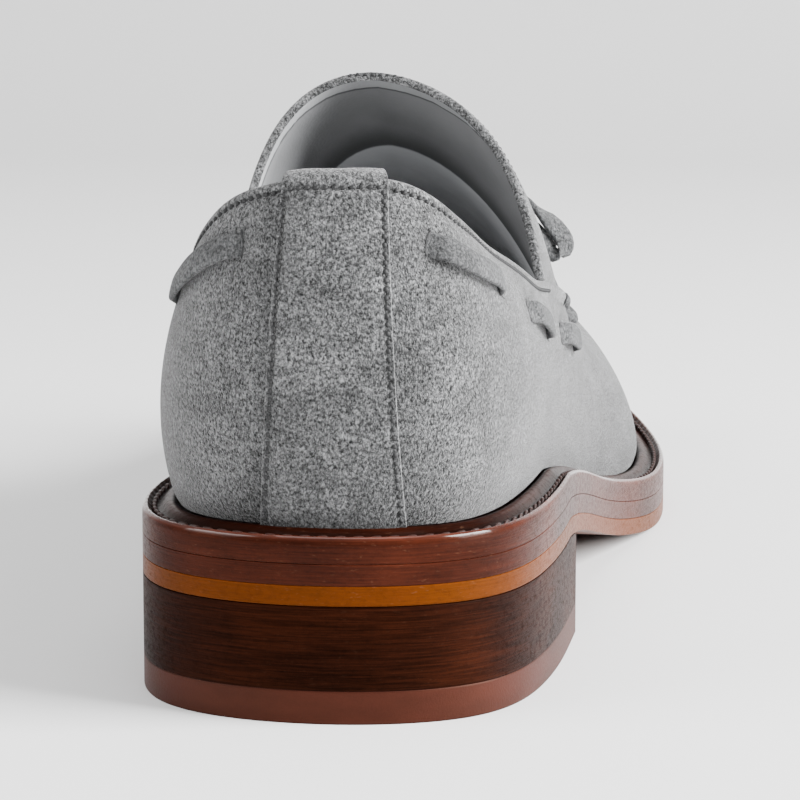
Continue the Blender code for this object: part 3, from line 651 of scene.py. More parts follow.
def thong(shell, centres, across, outward, widths, thick, wave, seed, tone=1.0):
    """Adds a flat leather thong with soft edges along a row of centres."""
    angles = circle(20)
    u, v = squared(np.cos(angles), 0.55), squared(np.sin(angles), 0.75)
    centres = np.asarray(centres, float)
    widths = np.broadcast_to(np.asarray(widths, float), len(centres))
    rings = []
    for centre, side, up, wide, length in zip(centres, across, outward, widths, running(centres)):
        lump = 1 + wave * math.sin(length / 0.0031 + seed) + 0.6 * wave * math.sin(length / 0.0013 + 2 * seed)
        rings.append(centre + np.outer(u * wide / 2 * lump, side) + np.outer(v * thick / 2, up))
    shell.rod(rings, centres, tone)


def stitches(shell, points, normals, pitch, thread, length=0.68, skew=0.06, finish=0):
    """Adds a row of stitches along points, each a rounded thread whose ends dip into the leather."""
    run = running(points)
    count = int(run[-1] / pitch)
    beads = np.linspace(-1, 1, 7)
    bulge = np.sqrt(np.clip(1 - np.abs(beads) ** 3, 0, 1))
    radius = thread / 2 * (0.45 + 0.55 * bulge)
    angles = circle(8)
    for number in range(count):
        middle = (number + 0.5) * run[-1] / count
        centres = at_lengths(middle + beads * pitch * length / 2, run, points)
        normal = unit(at_lengths(middle, run, normals))
        side = unit(np.cross(normal, unit(centres[-1] - centres[0])))
        centres = centres + np.outer(thread * (0.5 * bulge - 0.35), normal) + np.outer(beads * pitch * skew, side)
        round_thread = np.outer(np.cos(angles), side) + np.outer(np.sin(angles), normal)
        shell.tube([c + r * round_thread for c, r in zip(centres, radius)], centres, finish=finish)


# Materials

class Link:
    """A number coming out of a node, so that shader maths reads as an expression."""

    def __init__(self, paint, socket):
        self.paint, self.socket = paint, socket

    def __add__(self, other):
        return self.paint.math("ADD", self, other)

    def __sub__(self, other):
        return self.paint.math("SUBTRACT", self, other)

    def __rsub__(self, other):
        return self.paint.math("SUBTRACT", other, self)

    def __mul__(self, other):
        return self.paint.math("MULTIPLY", self, other)

    def __pow__(self, other):
        return self.paint.math("POWER", self, other)

    __radd__ = __add__
    __rmul__ = __mul__

    def between(self, low, high):
        """0 below low and 1 above high."""
        return self.paint.node("ShaderNodeMapRange", {"interpolation_type": "SMOOTHSTEP"},
                               {"Value": self, "From Min": low, "From Max": high})


class Paint:
    """One material: its nodes, and the Principled shader that they feed."""

    def __init__(self, name, **sockets):
        self.material = bpy.data.materials.new(name)
        self.material.use_nodes = True
        self.tree = self.material.node_tree
        self.shader = self.tree.nodes["Principled BSDF"]
        self.feed(self.shader, sockets)

    def feed(self, node, sockets):
        for name, value in sockets.items():
            socket = node.inputs[name.replace("_", " ") if isinstance(name, str) else name]
            if isinstance(value, Link):
                self.tree.links.new(value.socket, socket)
            else:
                socket.default_value = value

    def node(self, kind, settings=None, sockets=None, output=0):
        """Adds a node: its settings first, then its sockets."""
        node = self.tree.nodes.new(kind)
        for name, value in (settings or {}).items():
            setattr(node, name, value)
        self.feed(node, sockets or {})
        return Link(self, node.outputs[output])

    def math(self, operation, *values):
        return self.node("ShaderNodeMath", {"operation": operation}, dict(enumerate(values)))

    def place(self, stretch=(1, 1, 1)):
        """The place on the shoe in millimetres, stretched along each axis."""
        where = self.node("ShaderNodeTexCoord", output="Object")
        scale = tuple(1000 * s for s in stretch)
        return self.node("ShaderNodeVectorMath", {"operation": "MULTIPLY"}, {0: where, 1: scale})

    def noise(self, where, scale, detail=2.0, roughness=0.5, distortion=0.0):
        return self.node("ShaderNodeTexNoise", None,
                         {"Vector": where, "Scale": scale, "Detail": detail, "Roughness": roughness,
                          "Distortion": distortion})

    def pebbles(self, where, scale):
        return self.node("ShaderNodeTexVoronoi", None, {"Vector": where, "Scale": scale}, "Distance")

    def read(self, name="tone"):
        """A value that the mesh carries."""
        return self.node("ShaderNodeAttribute", {"attribute_name": name}, output="Fac")

    def shade(self, colour, amount):
        """A colour made lighter or darker by an amount."""
        return self.node("ShaderNodeVectorMath", {"operation": "SCALE"}, {0: colour, "Scale": amount})

    def mix(self, factor, first, second):
        """first where the factor is 0 and second where it is 1, as colours."""
        first, second = (c if isinstance(c, Link) else (*c, 1) for c in (first, second))
        return self.node("ShaderNodeMix", {"data_type": "RGBA"}, {0: factor, 6: first, 7: second}, output=2)

    def bump(self, height, distance, strength=1.0):
        return self.node("ShaderNodeBump", None, {"Height": height, "Distance": distance, "Strength": strength})

    def done(self, **sockets):
        self.feed(self.shader, sockets)
        return self.material


def suede(name, colour, depth=1.0, contrast=1.0, cloud=1.0, sheen=0.45):
    """Napped leather: fine grain, brushed clouds and short fibres."""
    paint = Paint(name, Roughness=0.95, Specular_IOR_Level=0.10, Sheen_Weight=sheen, Sheen_Roughness=0.45)
    where = paint.place()
    grain = paint.noise(where, 1.7, 3.0, 0.6).between(0.30, 0.70)
    fibre = paint.noise(paint.place((1.0, 1.0, 0.65)), 3.4, 2.0, 0.6, 0.5).between(0.30, 0.70)
    clouds = paint.noise(where, 0.06, 3.0, 0.55, 0.6).between(0.34, 0.66)
    brushed = paint.noise(paint.place((0.5, 0.5, 1.0)), 0.25, 3.0, 0.55, 0.5).between(0.36, 0.64)
    light = (1 + (grain - 0.5) * (0.88 * contrast) + (fibre - 0.5) * (0.80 * contrast)) ** 2
    # paint.read() multiplies in the tone each suede piece carries: painted shade in grooves, seams, near the welt
    # and round the slits, and painted highlights on beads and folded edges
    light = light * (1 + (clouds - 0.5) * (0.32 * cloud) + (brushed - 0.5) * (0.34 * cloud)) * paint.read()
    height = grain * 0.55 + fibre * 0.45
    nap = paint.bump(height, bpy.context.scene.loafer_sizes.nap * depth, 0.85)
    return paint.done(Base_Color=paint.shade(colour, light), Normal=nap)


def lining_leather(name, colour):
    """Lining: a light facing along the edge, a dark tongue with a painted shadow before its seam, and a vamp painted
    lighter as light falling in through the opening, with a stitched line between.
    """
    paint = Paint(name, Specular_IOR_Level=0.25)
    where = paint.place()
    pebble = paint.pebbles(where, 1.4)
    clouds = paint.noise(where, 0.07, 3.0, 0.6).between(0.25, 0.75)
    edge, seam = paint.read(), paint.read("mark")
    facing = 1 - edge.between(4.1, 4.4)
    line = edge.between(4.2, 4.5) * (1 - edge.between(4.7, 5.2)) + (1 - edge.between(0.5, 1.0))
    # step: painted shadow, darkening the tongue's lining over the 8 mm before its seam
    step = seam.between(-8.0, -0.3) * (1 - seam.between(0.0, 0.9))
    # Past the seam the vamp's lining is painted 3.5 times lighter, standing in for light that falls in through the
    # opening
    light = 1 + facing * 0.7 + seam.between(-0.2, 0.7) * 2.5
    light = light * (0.88 + clouds * 0.2) * (1 - line * 0.6) * (1 - step * 0.45)
    return paint.done(Base_Color=paint.shade(colour, light), Roughness=0.62 + (clouds - 0.5) * 0.15,
                      Normal=paint.bump(pebble, 0.00006, 0.7))


def smooth_leather(name, colour):
    """Insole leather with a fine pebble."""
    paint = Paint(name, Specular_IOR_Level=0.4)
    where = paint.place()
    pebble = paint.pebbles(where, 1.4)
    clouds = paint.noise(where, 0.07, 3.0, 0.6).between(0.25, 0.75)
    fine = paint.noise(where, 2.2, 2.0)
    light = (0.86 + clouds * 0.22 + (fine - 0.5) * 0.22) * paint.read()
    return paint.done(Base_Color=paint.shade(colour, light), Roughness=0.6 + (fine - 0.5) * 0.2,
                      Normal=paint.bump(pebble + fine * 0.5, 0.00006, 0.7))


def edge_leather(name, colour, streak, warm, tint, roughness=0.32, coat=0.03, worn=0.10):
    """Waxed and burnished leather seen on edge: fibres along the sole, small scuffs and a polished top, whose colour
    the carried tone also lightens as a painted highlight.
    """
    paint = Paint(name, IOR=1.22, Specular_IOR_Level=0.16, Specular_Tint=(*tint, 1), Coat_Roughness=0.10)
    fibres = paint.noise(paint.place((0.10, 0.10, 3.2)), 1.0, 4.0, 0.6).between(0.25, 0.75)
    marks = paint.noise(paint.place((0.9, 0.9, 1.6)), 0.8, 3.0, 0.65).between(0.42, 0.75)
    clouds = paint.noise(paint.place(), 0.035, 2.0, 0.5).between(0.3, 0.7)
    scuffs = paint.noise(paint.place((0.35, 0.35, 1.2)), 1.7, 2.0, 0.7).between(0.62, 0.74)
    # paint.read() multiplies in the carried tone: painted highlights along the rims, painted shade in grooves and
    # where layers meet
    light = (1 + (fibres - 0.5) * streak + (clouds - 0.5) * 0.35 - marks * 0.22) * paint.read()
    base = paint.mix(clouds * 0.5 + fibres * 0.2, colour, warm)
    base = paint.mix(scuffs * worn, paint.shade(base, light), (0.24, 0.13, 0.08))
    rough = roughness + marks * 0.16 + scuffs * 0.2
    # The coat goes where the tone holds a painted highlight of 1.3 and more
    rim = paint.read().between(1.3, 1.9)
    height = fibres * 0.6 + marks * 0.5
    return paint.done(Base_Color=base, Roughness=rough, Coat_Weight=(coat + rim * 0.95) * (1 - scuffs),
                      Normal=paint.bump(height, 0.00008, 0.6))


def rubber(name, colour):
    """Moulded top lift with a satin face and fine speckle."""
    paint = Paint(name, Specular_IOR_Level=0.20, Specular_Tint=(0.9, 0.5, 0.35, 1))
    fine = paint.noise(paint.place(), 2.4, 3.0, 0.6)
    clouds = paint.noise(paint.place((0.4, 0.4, 1.4)), 0.11, 3.0, 0.6).between(0.3, 0.7)
    # paint.read() multiplies in the carried tone: painted shade on the rounded edges and the tread
    light = (0.82 + clouds * 0.30 + (fine - 0.5) * 0.35) * paint.read()
    return paint.done(Base_Color=paint.shade(colour, light), Roughness=0.38 + fine * 0.22,
                      Normal=paint.bump(fine, 0.00006, 0.6))


def thread_finish(name, colour, roughness=0.6):
    """Waxed thread."""
    paint = Paint(name, Specular_IOR_Level=0.4)
    twist = paint.noise(paint.place(), 4.0, 2.0, 0.6)
    return paint.done(Base_Color=paint.shade(colour, 0.7 + twist * 0.6), Roughness=roughness + (twist - 0.5) * 0.2,
                      Normal=paint.bump(twist, 0.00008, 0.6))


def floor_finish(name, colour):
    """Seamless studio paper."""
    paint = Paint(name, Specular_IOR_Level=0.2)
    fibre = paint.noise(paint.place(), 0.6, 3.0, 0.6)
    return paint.done(Base_Color=paint.shade(colour, 0.99 + fibre * 0.02), Roughness=0.85 + (fibre - 0.5) * 0.1)


FINISHES = {
    # material: finish, colour in the settings, how much of the colour, then what the finish is given
    "suede": (suede, "suede", 1.0, {}),
    "lace": (suede, "lace", 1.0, {"depth": 0.5, "contrast": 0.55, "cloud": 0.5, "sheen": 0.14}),
    "lining": (lining_leather, "lining", 1.0, {}),
    "insole": (smooth_leather, "insole", 1.0, {}),
    "thread": (thread_finish, "thread", 1.0, {}),
    "welt": (edge_leather, "welt", 1.0, {
        "streak": 0.40, "warm": (0.048, 0.0100, 0.0042), "tint": (0.9, 0.5, 0.35), "roughness": 0.28, "coat": 0.05}),
    "welt_thread": (thread_finish, "welt", 0.8, {"roughness": 0.45}),
    "outsole": (edge_leather, "outsole", 1.0, {
        "streak": 0.30, "warm": (0.064, 0.0135, 0.0018), "tint": (1.0, 0.55, 0.15)}),
    "stack": (edge_leather, "stack", 1.0, {
        "streak": 0.9, "warm": (0.022, 0.0050, 0.0018), "tint": (0.7, 0.32, 0.18), "roughness": 0.42, "coat": 0.0,
        "worn": 0.02}),
    "lift": (rubber, "lift", 1.0, {}),
}


def material_of(key):
    """The material for a key, made once from the colours in the settings."""
    name = "loafer_" + key
    if name not in bpy.data.materials:
        finish, source, amount, options = FINISHES[key]
        finish(name, tuple(amount * c for c in getattr(bpy.context.scene.loafer_colours, source)), **options)
    return bpy.data.materials[name]


# Frames on the vamp, for lace, bow and tassels

def over_ridge(a, distance):
    """(side, t) at a signed distance from the ridge along the section at station a, outer side positive."""
    side = 1 if distance >= 0 else -1
    ts = np.linspace(1, 0, 300)
    return side, float(np.interp(abs(distance), running(form(side, a, ts)), ts))


def vamp_frame(a, distance):
    """Point, direction ahead, direction to the outer side and normal at a signed distance across the ridge."""
    side, t = over_ridge(a, distance)
    point, ahead, _, normal = frame_at(side, a, t)
    return point, ahead, unit(np.cross(ahead, normal)), normal


BAND = share_at(BAND_PLACE)
BAND_TOP = APRON_GAP - STEP + LACE_THICK
KNOT_MIDDLE = BAND_TOP + GAP + KNOT_HEIGHT / 2
LOOP_LOW = BAND_TOP + GAP + LACE_THICK / 2
LOOP_MIDDLE = LOOP_LOW + BOW_HEIGHT / 2
END_START = KNOT_LENGTH / 2 + GAP
HEAD_START = END_START + END_LENGTH


def loop_path(sign):
    """One loop of the bow as (distance, lift) steps: out low along the vamp and back above."""
    start = KNOT_WIDTH / 2 + GAP
    turn = BOW_HEIGHT / 2
    end = BOW_REACH - turn
    path = [(start + (end - start) * s, LOOP_LOW + 0.0004 * math.sin(math.pi * s)) for s in np.linspace(0, 1, 16)]
    path += [(end + turn * math.sin(v), LOOP_MIDDLE - turn * math.cos(v)) for v in np.linspace(0, math.pi, 11)[1:-1]]
    path += [(end + (start - end) * s, LOOP_LOW + BOW_HEIGHT - 0.0012 * s * s) for s in np.linspace(0, 1, 16)]
    return [(sign * distance, lift) for distance, lift in path]


def tassel_line(sign):
    """Plan line of a lace end and its tassel, running forwards from the knot."""
    total = HEAD_START + TASSEL_HEAD + TASSEL_SKIRT
    ahead = share_at(BAND_PLACE + total * 0.97) - BAND
    leave = 0.22 * TASSEL_SPLAY
    bow_out = 0.0035

    def at(length):
        part = length / total
        spread = leave + (TASSEL_SPLAY - leave) * min(1.0, 2.1 * part) + bow_out * part
        return BAND + ahead * part, sign * spread

    return at


def travel_frames(sign, lengths, lifts):
    """Centres along a tassel's line with the line's own direction, sideways and outward directions."""
    frames = [vamp_frame(*tassel_line(sign)(length)) for length in lengths]
    centres = np.array([f[0] + f[3] * lift for f, lift in zip(frames, lifts)])
    along = unit(np.gradient(centres, axis=0))
    sideways = unit(np.cross(along, np.array([f[3] for f in frames])))
    return centres, along, sideways, np.cross(sideways, along)


# Pieces

CAMERA_PLACE = (0.1013, -0.6978, 0.1498)
CAMERA_AIM = (0.0108, -0.0900, 0.0479)
LIGHT_AIM = (0, 0, 0.04)


def turned(place, aim):
    """Rotation that points a camera or a light from its place at its aim."""
    return (Vector(aim) - Vector(place)).to_track_quat("-Z", "Y").to_euler()


class LOAFER_OT_stage(bpy.types.Operator):
    """Lay the paper, hang the lights and set the camera where the picture was taken from"""

    bl_idname = "loafer.stage"
    bl_label = "Stage"

    def execute(self, context):
        stage = context.scene.loafer_stage
        self.lay_paper(stage)
        self.hang_lights(context, stage)
        self.set_camera(context, stage)
        return {"FINISHED"}

    def lay_paper(self, stage):
        """A sweep of paper that turns up behind the shoe."""
        front, turn, radius, top, half_width = -2.4, 0.9, 0.7, 3.0, 3.0
        profile = [(front, 0.0), (turn, 0.0)]
        profile += [(turn + radius * math.sin(v), radius - radius * math.cos(v))
                    for v in np.linspace(0, math.pi / 2, 12)[1:]]
        profile += [(turn + radius, top)]
        data = bpy.data.meshes.new("paper")
        points = [(x, y, z) for y, z in profile for x in (-half_width, half_width)]
        faces = [(2 * i, 2 * i + 1, 2 * i + 3, 2 * i + 2) for i in range(len(profile) - 1)]
        data.from_pydata(points, [], faces)
        data.shade_smooth()
        data.materials.append(floor_finish("paper", tuple(stage.floor)))
        paper = bpy.data.objects.new("paper", data)
        bpy.context.scene.collection.objects.link(paper)

    def hang_lights(self, context, stage):
        world = bpy.data.worlds.new("studio")
        world.use_nodes = True
        world.node_tree.nodes["Background"].inputs["Color"].default_value = (1, 1, 1, 1)
        world.node_tree.nodes["Background"].inputs["Strength"].default_value = stage.sky
        context.scene.world = world
        # name, place, size, power
        lights = (
            ("key", (1.15, -0.20, 0.60), 0.8, stage.key),
            ("fill", (-1.10, -0.65, 0.70), 0.9, stage.fill * 3.0),
            ("top", (0.00, -0.20, 1.50), 1.0, stage.fill * 1.5),
        )
        for name, place, size, power in lights:
            lamp = bpy.data.lights.new(name, "AREA")
            lamp.shape, lamp.size, lamp.energy = "SQUARE", size, power
            hung = bpy.data.objects.new(name, lamp)
            hung.location = place
            hung.rotation_euler = turned(place, LIGHT_AIM)
            context.scene.collection.objects.link(hung)

    def set_camera(self, context, stage):
        camera = bpy.data.cameras.new("camera")
        camera.sensor_width = 36
        camera.lens = stage.lens
        camera.clip_start, camera.clip_end = 0.01, 20
        seat = bpy.data.objects.new("camera", camera)
        seat.location = CAMERA_PLACE
        seat.rotation_euler = turned(CAMERA_PLACE, CAMERA_AIM)
        context.scene.collection.objects.link(seat)
        context.scene.camera = seat


class LOAFER_OT_tassels(bpy.types.Operator):
    """Make the two tassels with their wrapped heads and fringes"""

    bl_idname = "loafer.tassels"
    bl_label = "Tassels"

    def execute(self, context):
        strips = context.scene.loafer_sizes.strips
        for sign, word in ((1, "outer"), (-1, "inner")):
            shell = Shell(f"fringe_{word}")
            self.head(shell, sign)
            for layer, count in enumerate((strips, strips, strips // 2)):
                for number in range(count):
                    self.strip(shell, sign, layer, (number + 0.5 * layer) / count, number)
            shell.make([material_of("lace")], "grey_lace", [f"tassel_{word}"])
        return {"FINISHED"}

    def head(self, shell, sign):
        """A barrel wrapped twice with leather."""
        shares = np.linspace(0, 1, 34)
        size = 0.62 + 0.36 * smooth(0, 0.14, shares) - 0.10 * smooth(0.86, 1.0, shares)
        for groove in (0.16, 0.42, 0.68, 0.90):
            size = size - 0.10 * bell(shares, groove, 0.022)
        size = size + 0.05 * bell(shares, 0.79, 0.08)
        lengths = HEAD_START + shares * TASSEL_HEAD
        centres, _, sideways, outward = travel_frames(sign, lengths, np.full(len(shares), TASSEL_SET))
        angles = circle(28)
        rings = [centre + TASSEL_RADIUS * s * (np.outer(np.cos(angles), side) + np.outer(np.sin(angles), up))
                 for centre, side, up, s in zip(centres, sideways, outward, size)]
        # Tone follows the barrel's size: painted shade in the grooves of the wrapping, painted highlight on its
        # swells
        shell.rod(rings, centres, (0.55 + 0.5 * (size - size.min()) / np.ptp(size))[:, None])

    def strip(self, shell, sign, layer, turn, number):
        """One strip of the fringe, from the head to its cut tip."""
        start = HEAD_START + TASSEL_HEAD * 0.93
        shares = np.linspace(0, 1, 15)
        jitter = math.sin(number * 2.4 + layer * 1.7 + sign)
        length = TASSEL_SKIRT * (0.965 + 0.03 * jitter)
        angle = 2 * math.pi * turn + 0.08 * jitter
        flare = TASSEL_FLARE / TASSEL_RADIUS - 0.86
        wide = TASSEL_RADIUS * (0.80 + flare * shares ** 0.8) * (1 - 0.22 * layer)
        tall = TASSEL_RADIUS * (0.80 + 0.10 * np.sin(math.pi * shares)) * (1 - 0.30 * layer)
        lifts = APRON_GAP - STEP + TASSEL_RADIUS * (0.98 - 0.05 * shares)
        centres, _, sideways, outward = travel_frames(sign, start + shares * length, lifts)
        sway = 0.0006 * jitter * shares ** 2
        ray = np.stack([wide * math.cos(angle) + sway, tall * math.sin(angle)], axis=1)
        points = centres + sideways * ray[:, :1] + outward * ray[:, 1:]
        tangent = unit(np.gradient(points, axis=0))
        normal = unit(sideways * (math.cos(angle) / 1.4) + outward * math.sin(angle))
        across = unit(np.cross(tangent, normal))
        width = FRINGE_WIDTH * (0.85 + 0.30 * shares)
        tone = 0.94 + 0.10 * jitter
        thong(shell, points, across, np.cross(across, tangent), width, FRINGE_THICK, 0.02, number, tone)


class LOAFER_OT_bow(bpy.types.Operator):
    """Tie the bow: its knot, its two loops and the ends that carry the tassels"""

    bl_idname = "loafer.bow"
    bl_label = "Bow"

    def execute(self, context):
        knot = self.knot()
        for sign, word in ((1, "outer"), (-1, "inner")):
            cord, path = self.lace_half(sign, word)
        return {"FINISHED"}

    def knot(self):
        """Two turns of lace round the bundle, side by side."""
        point, ahead, sideways, normal = vamp_frame(BAND, 0.0)
        centre = point + normal * KNOT_MIDDLE
        shell = Shell("knot_wraps")
        v = circle(40)
        u = np.linspace(-math.pi / 2, math.pi / 2, 13)
        for shift, lean in ((-0.25, -0.06), (0.25, 0.06)):
            rings = []
            centres = centre + np.outer(KNOT_WIDTH * (shift + 0.25 * np.sin(u)), sideways)
            for turn, angle in zip(centres, u):
                size = 0.80 + 0.20 * max(0.0, math.cos(angle)) ** 0.5
                along = squared(np.cos(v), 0.8) * KNOT_LENGTH / 2 * size * (1 + lean)
                tall = squared(np.sin(v), 0.8) * KNOT_HEIGHT / 2 * size
                rings.append(turn + np.outer(along, ahead) + np.outer(tall, normal))
            # Tone falls towards both ends of each turn: painted shade where the wrap turns under the bundle
            shell.rod(rings, centres, (0.45 + 0.6 * np.cos(u) ** 0.7)[:, None])
        return shell.make([material_of("lace")], "grey_lace", ["lace_knot"])

    def lace_half(self, sign, word):
        """One half of the lace: out and back as a loop, through the knot and on to its tassel."""
        centres, flat = [], []
        lean = share_at(BAND_PLACE + BOW_LEAN) - BAND
        droop = share_at(BAND_PLACE + LOOP_DROOP) - BAND
        for distance, lift in loop_path(sign):
            turn = LOOP_TURN * float(smooth(0.029, 0.037, abs(distance)))
            place = BAND + lean * (distance / BOW_REACH) ** 2 + droop * float(bell(abs(distance), 0.024, 0.010))
            point, ahead, _, normal = vamp_frame(place, distance)
            rise = lift - LOOP_MIDDLE
            sag = LOOP_SAG * float(bell(abs(distance), 0.021, 0.012)) * float(smooth(0, 0.002, rise))
            rise = rise * (1 - 0.16 * math.sin(turn)) + 0.0006 * math.sin(turn) - sag
            centres.append(point + normal * (LOOP_MIDDLE + rise))
            flat.append(ahead * math.cos(turn) + normal * math.sin(turn))
        lengths = np.linspace(END_START, HEAD_START - 2 * GAP, 9)
        lifts = np.linspace(BAND_TOP + GAP + LACE_THICK, TASSEL_SET, 9)
        end, _, sideways, _ = travel_frames(sign, lengths, lifts)
        loop = np.array(centres)
        enter, leave = loop[-1], end[0]
        middle, _, _, normal = vamp_frame(BAND, 0.0)
        through = middle + normal * KNOT_MIDDLE + 0.15 * (leave - middle)
        s = np.linspace(0, 1, 8)[1:-1, None]
        w = smooth(0, 1, s)
        inside = (1 - s) ** 2 * enter + 2 * s * (1 - s) * through + s ** 2 * leave
        path = np.concatenate([loop, inside, end])
        tangent = unit(np.gradient(path, axis=0))
        ahead = np.array(flat)
        across = np.concatenate([ahead, (1 - w) * ahead[-1] + w * sideways[0] * -sign, sideways * -sign])
        across = unit(across - tangent * (across * tangent).sum(axis=1)[:, None])
        narrow = LACE_WIDTH * 0.7
        widths = np.concatenate([np.full(len(loop), LACE_WIDTH), np.linspace(LACE_WIDTH, narrow, 6),
                                 np.full(len(end), narrow)])
        shell = Shell(f"bow_{word}")
        thong(shell, path, across, np.cross(across, tangent), widths, LACE_THICK * 1.25, 0.02, sign)
        piece = shell.make([material_of("lace")], "grey_lace", [f"bow_loop_{word}", f"lace_end_{word}"])
        return piece, placed(path)


# The tones are painted light: the rounding at the bottom of each layer darker as painted shade, the rounding at its
# top lighter as a painted highlight
LAYER_PROFILE = (
    # inset, height as a share of the layer, tone
    (0.0016, 0.0, 0.7), (0.00012, 0.0, 0.85), (0.0, 0.03, 1.0), (0.0, 0.10, 1.0), (0.0, 0.35, 1.0),
    (0.0, 0.65, 1.0), (0.0, 0.90, 1.0), (0.0, 0.97, 1.25), (0.00014, 1.0, 1.6), (0.0016, 1.0, 0.8),
)
# The tone is painted light: about 2 along the rim as a painted highlight, 0.1 to 0.25 in the stitch groove and
# against the upper as painted shade, a little more on the bead between, and a darker lower edge
WELT_PROFILE = (
    # share of the welt's reach, height as a share of WELT, tone
    (0.050, -0.030, 0.5), (0.006, -0.012, 0.8), (0.00, 0.02, 1.1), (0.00, 0.40, 1.0), (0.004, 0.66, 1.0),
    (0.018, 0.79, 1.2), (0.045, 0.89, 1.7), (0.08, 0.950, 2.2), (0.12, 0.975, 2.2), (0.16, 0.955, 1.4),
    (0.20, 0.900, 0.8), (0.26, 0.830, 0.40), (0.33, 0.790, 0.22), (0.42, 0.780, 0.18), (0.50, 0.800, 0.18),
    (0.57, 0.870, 0.25), (0.64, 0.960, 0.38), (0.72, 1.040, 0.5), (0.80, 1.085, 0.55), (0.88, 1.095, 0.45),
    (0.95, 1.060, 0.25), (1.02, 0.980, 0.12), (1.12, 0.880, 0.1), (1.30, 0.860, 0.1),
)


def swept(profile, count, point):
    """Rows of points all round the sole, one row for each line of a profile."""
    return np.array([[point(side, a, *line[:2]) for line in profile] for side, a in around_sole(count)]
                    ).transpose(1, 0, 2)


class LOAFER_OT_sole(bpy.types.Operator):
    """Build welt, midsole and outsole with their finished edges"""

    bl_idname = "loafer.sole"
    bl_label = "Sole"

    def execute(self, context):
        self.layer("outsole_edge", sole_bottom, OUTSOLE, "outsole", "outsole_amber", ["outsole"])
        self.layer("midsole_edge", midsole_bottom, MIDSOLE, "welt", "midsole_brown", ["midsole"])
        self.welt(context.scene.loafer_sizes)
        return {"FINISHED"}

    def layer(self, name, bottom, thick, finish, slot, replaces):
        """A sheet of sole leather with rounded edges."""
        meet = SEAM / 2 if bottom is sole_bottom else SEAM

        def point(side, a, inset, tall):
            low = bottom(read(side, a, 0)[1]) - (meet - SEAM / 2)
            return (*outline_point(side, a, inset), low + tall * (thick + meet))

        rows = swept(LAYER_PROFILE, 190, point)
        shell = Shell(name)
        middle = np.array([0.0, SOLE_LENGTH / 2, 0.01])
        shell.sheet(rows, around=True, out=(rows - middle) * (1, 1, 0), tone=np.array(LAYER_PROFILE)[:, 2:])
        for edge, up in ((rows[0], -1), (rows[-1], 1)):
            self.face(shell, edge, up)
        shell.make([material_of(finish)], slot, replaces)

    def face(self, shell, edge, up):
        """Closes a layer's face with straps from its outer to its inner side."""
        half = len(edge) // 2 + 1
        inner = np.concatenate([edge[:1], edge[:half - 2:-1]])[:half]
        straps = np.linspace(0, 1, 9)[:, None, None]
        # Faces a little darker: painted shade where the layers lie on one another and face the floor
        shell.sheet(edge[:half] * (1 - straps) + inner * straps, out=(0, 0, up), tone=0.95)

    def welt(self, sizes):
        """The stitched strip: polished rim, stitch groove with wheel marks, and the bead against the suede."""
        count = 460
        stations = around_sole(count)
        lengths = dict(zip(stations, running(np.array([read(side, a, 0) for side, a in stations]))))

        def point(side, a, share, tall):
            y = read(side, a, 0)[1]
            mark = 0.5 + 0.5 * math.cos(2 * math.pi * lengths[side, a] / sizes.welt_pitch)
            press = 0.00022 * mark * float(bell(share, 0.24, 0.10))
            return (*outline_point(side, a, share * welt_reach(y)), welt_bottom(y) + tall * WELT - press)

        rows = swept(WELT_PROFILE, count, point)
        middle = np.array([0.0, SOLE_LENGTH / 2, -0.1])
        shell = Shell("welt_strip")
        shell.sheet(rows, around=True, out=rows - middle, tone=np.array(WELT_PROFILE)[:, 2:])
        shell.make([material_of("welt")], "welt_brown", ["welt"])


# The tones darken the rounded edges of each block: painted shade where the blocks meet each other, the outsole and
# the floor
HEEL_ROUNDING = (
    # inset, distance from the face, tone at the lower face, tone at the upper face
    (0.0016, 0.0, 0.8, 0.7),
    (0.00006, 0.0, 0.8, 0.7),
    (0.0, 0.00006, 0.8, 0.7),
    (0.0, 0.0004, 1.0, 1.0),
)


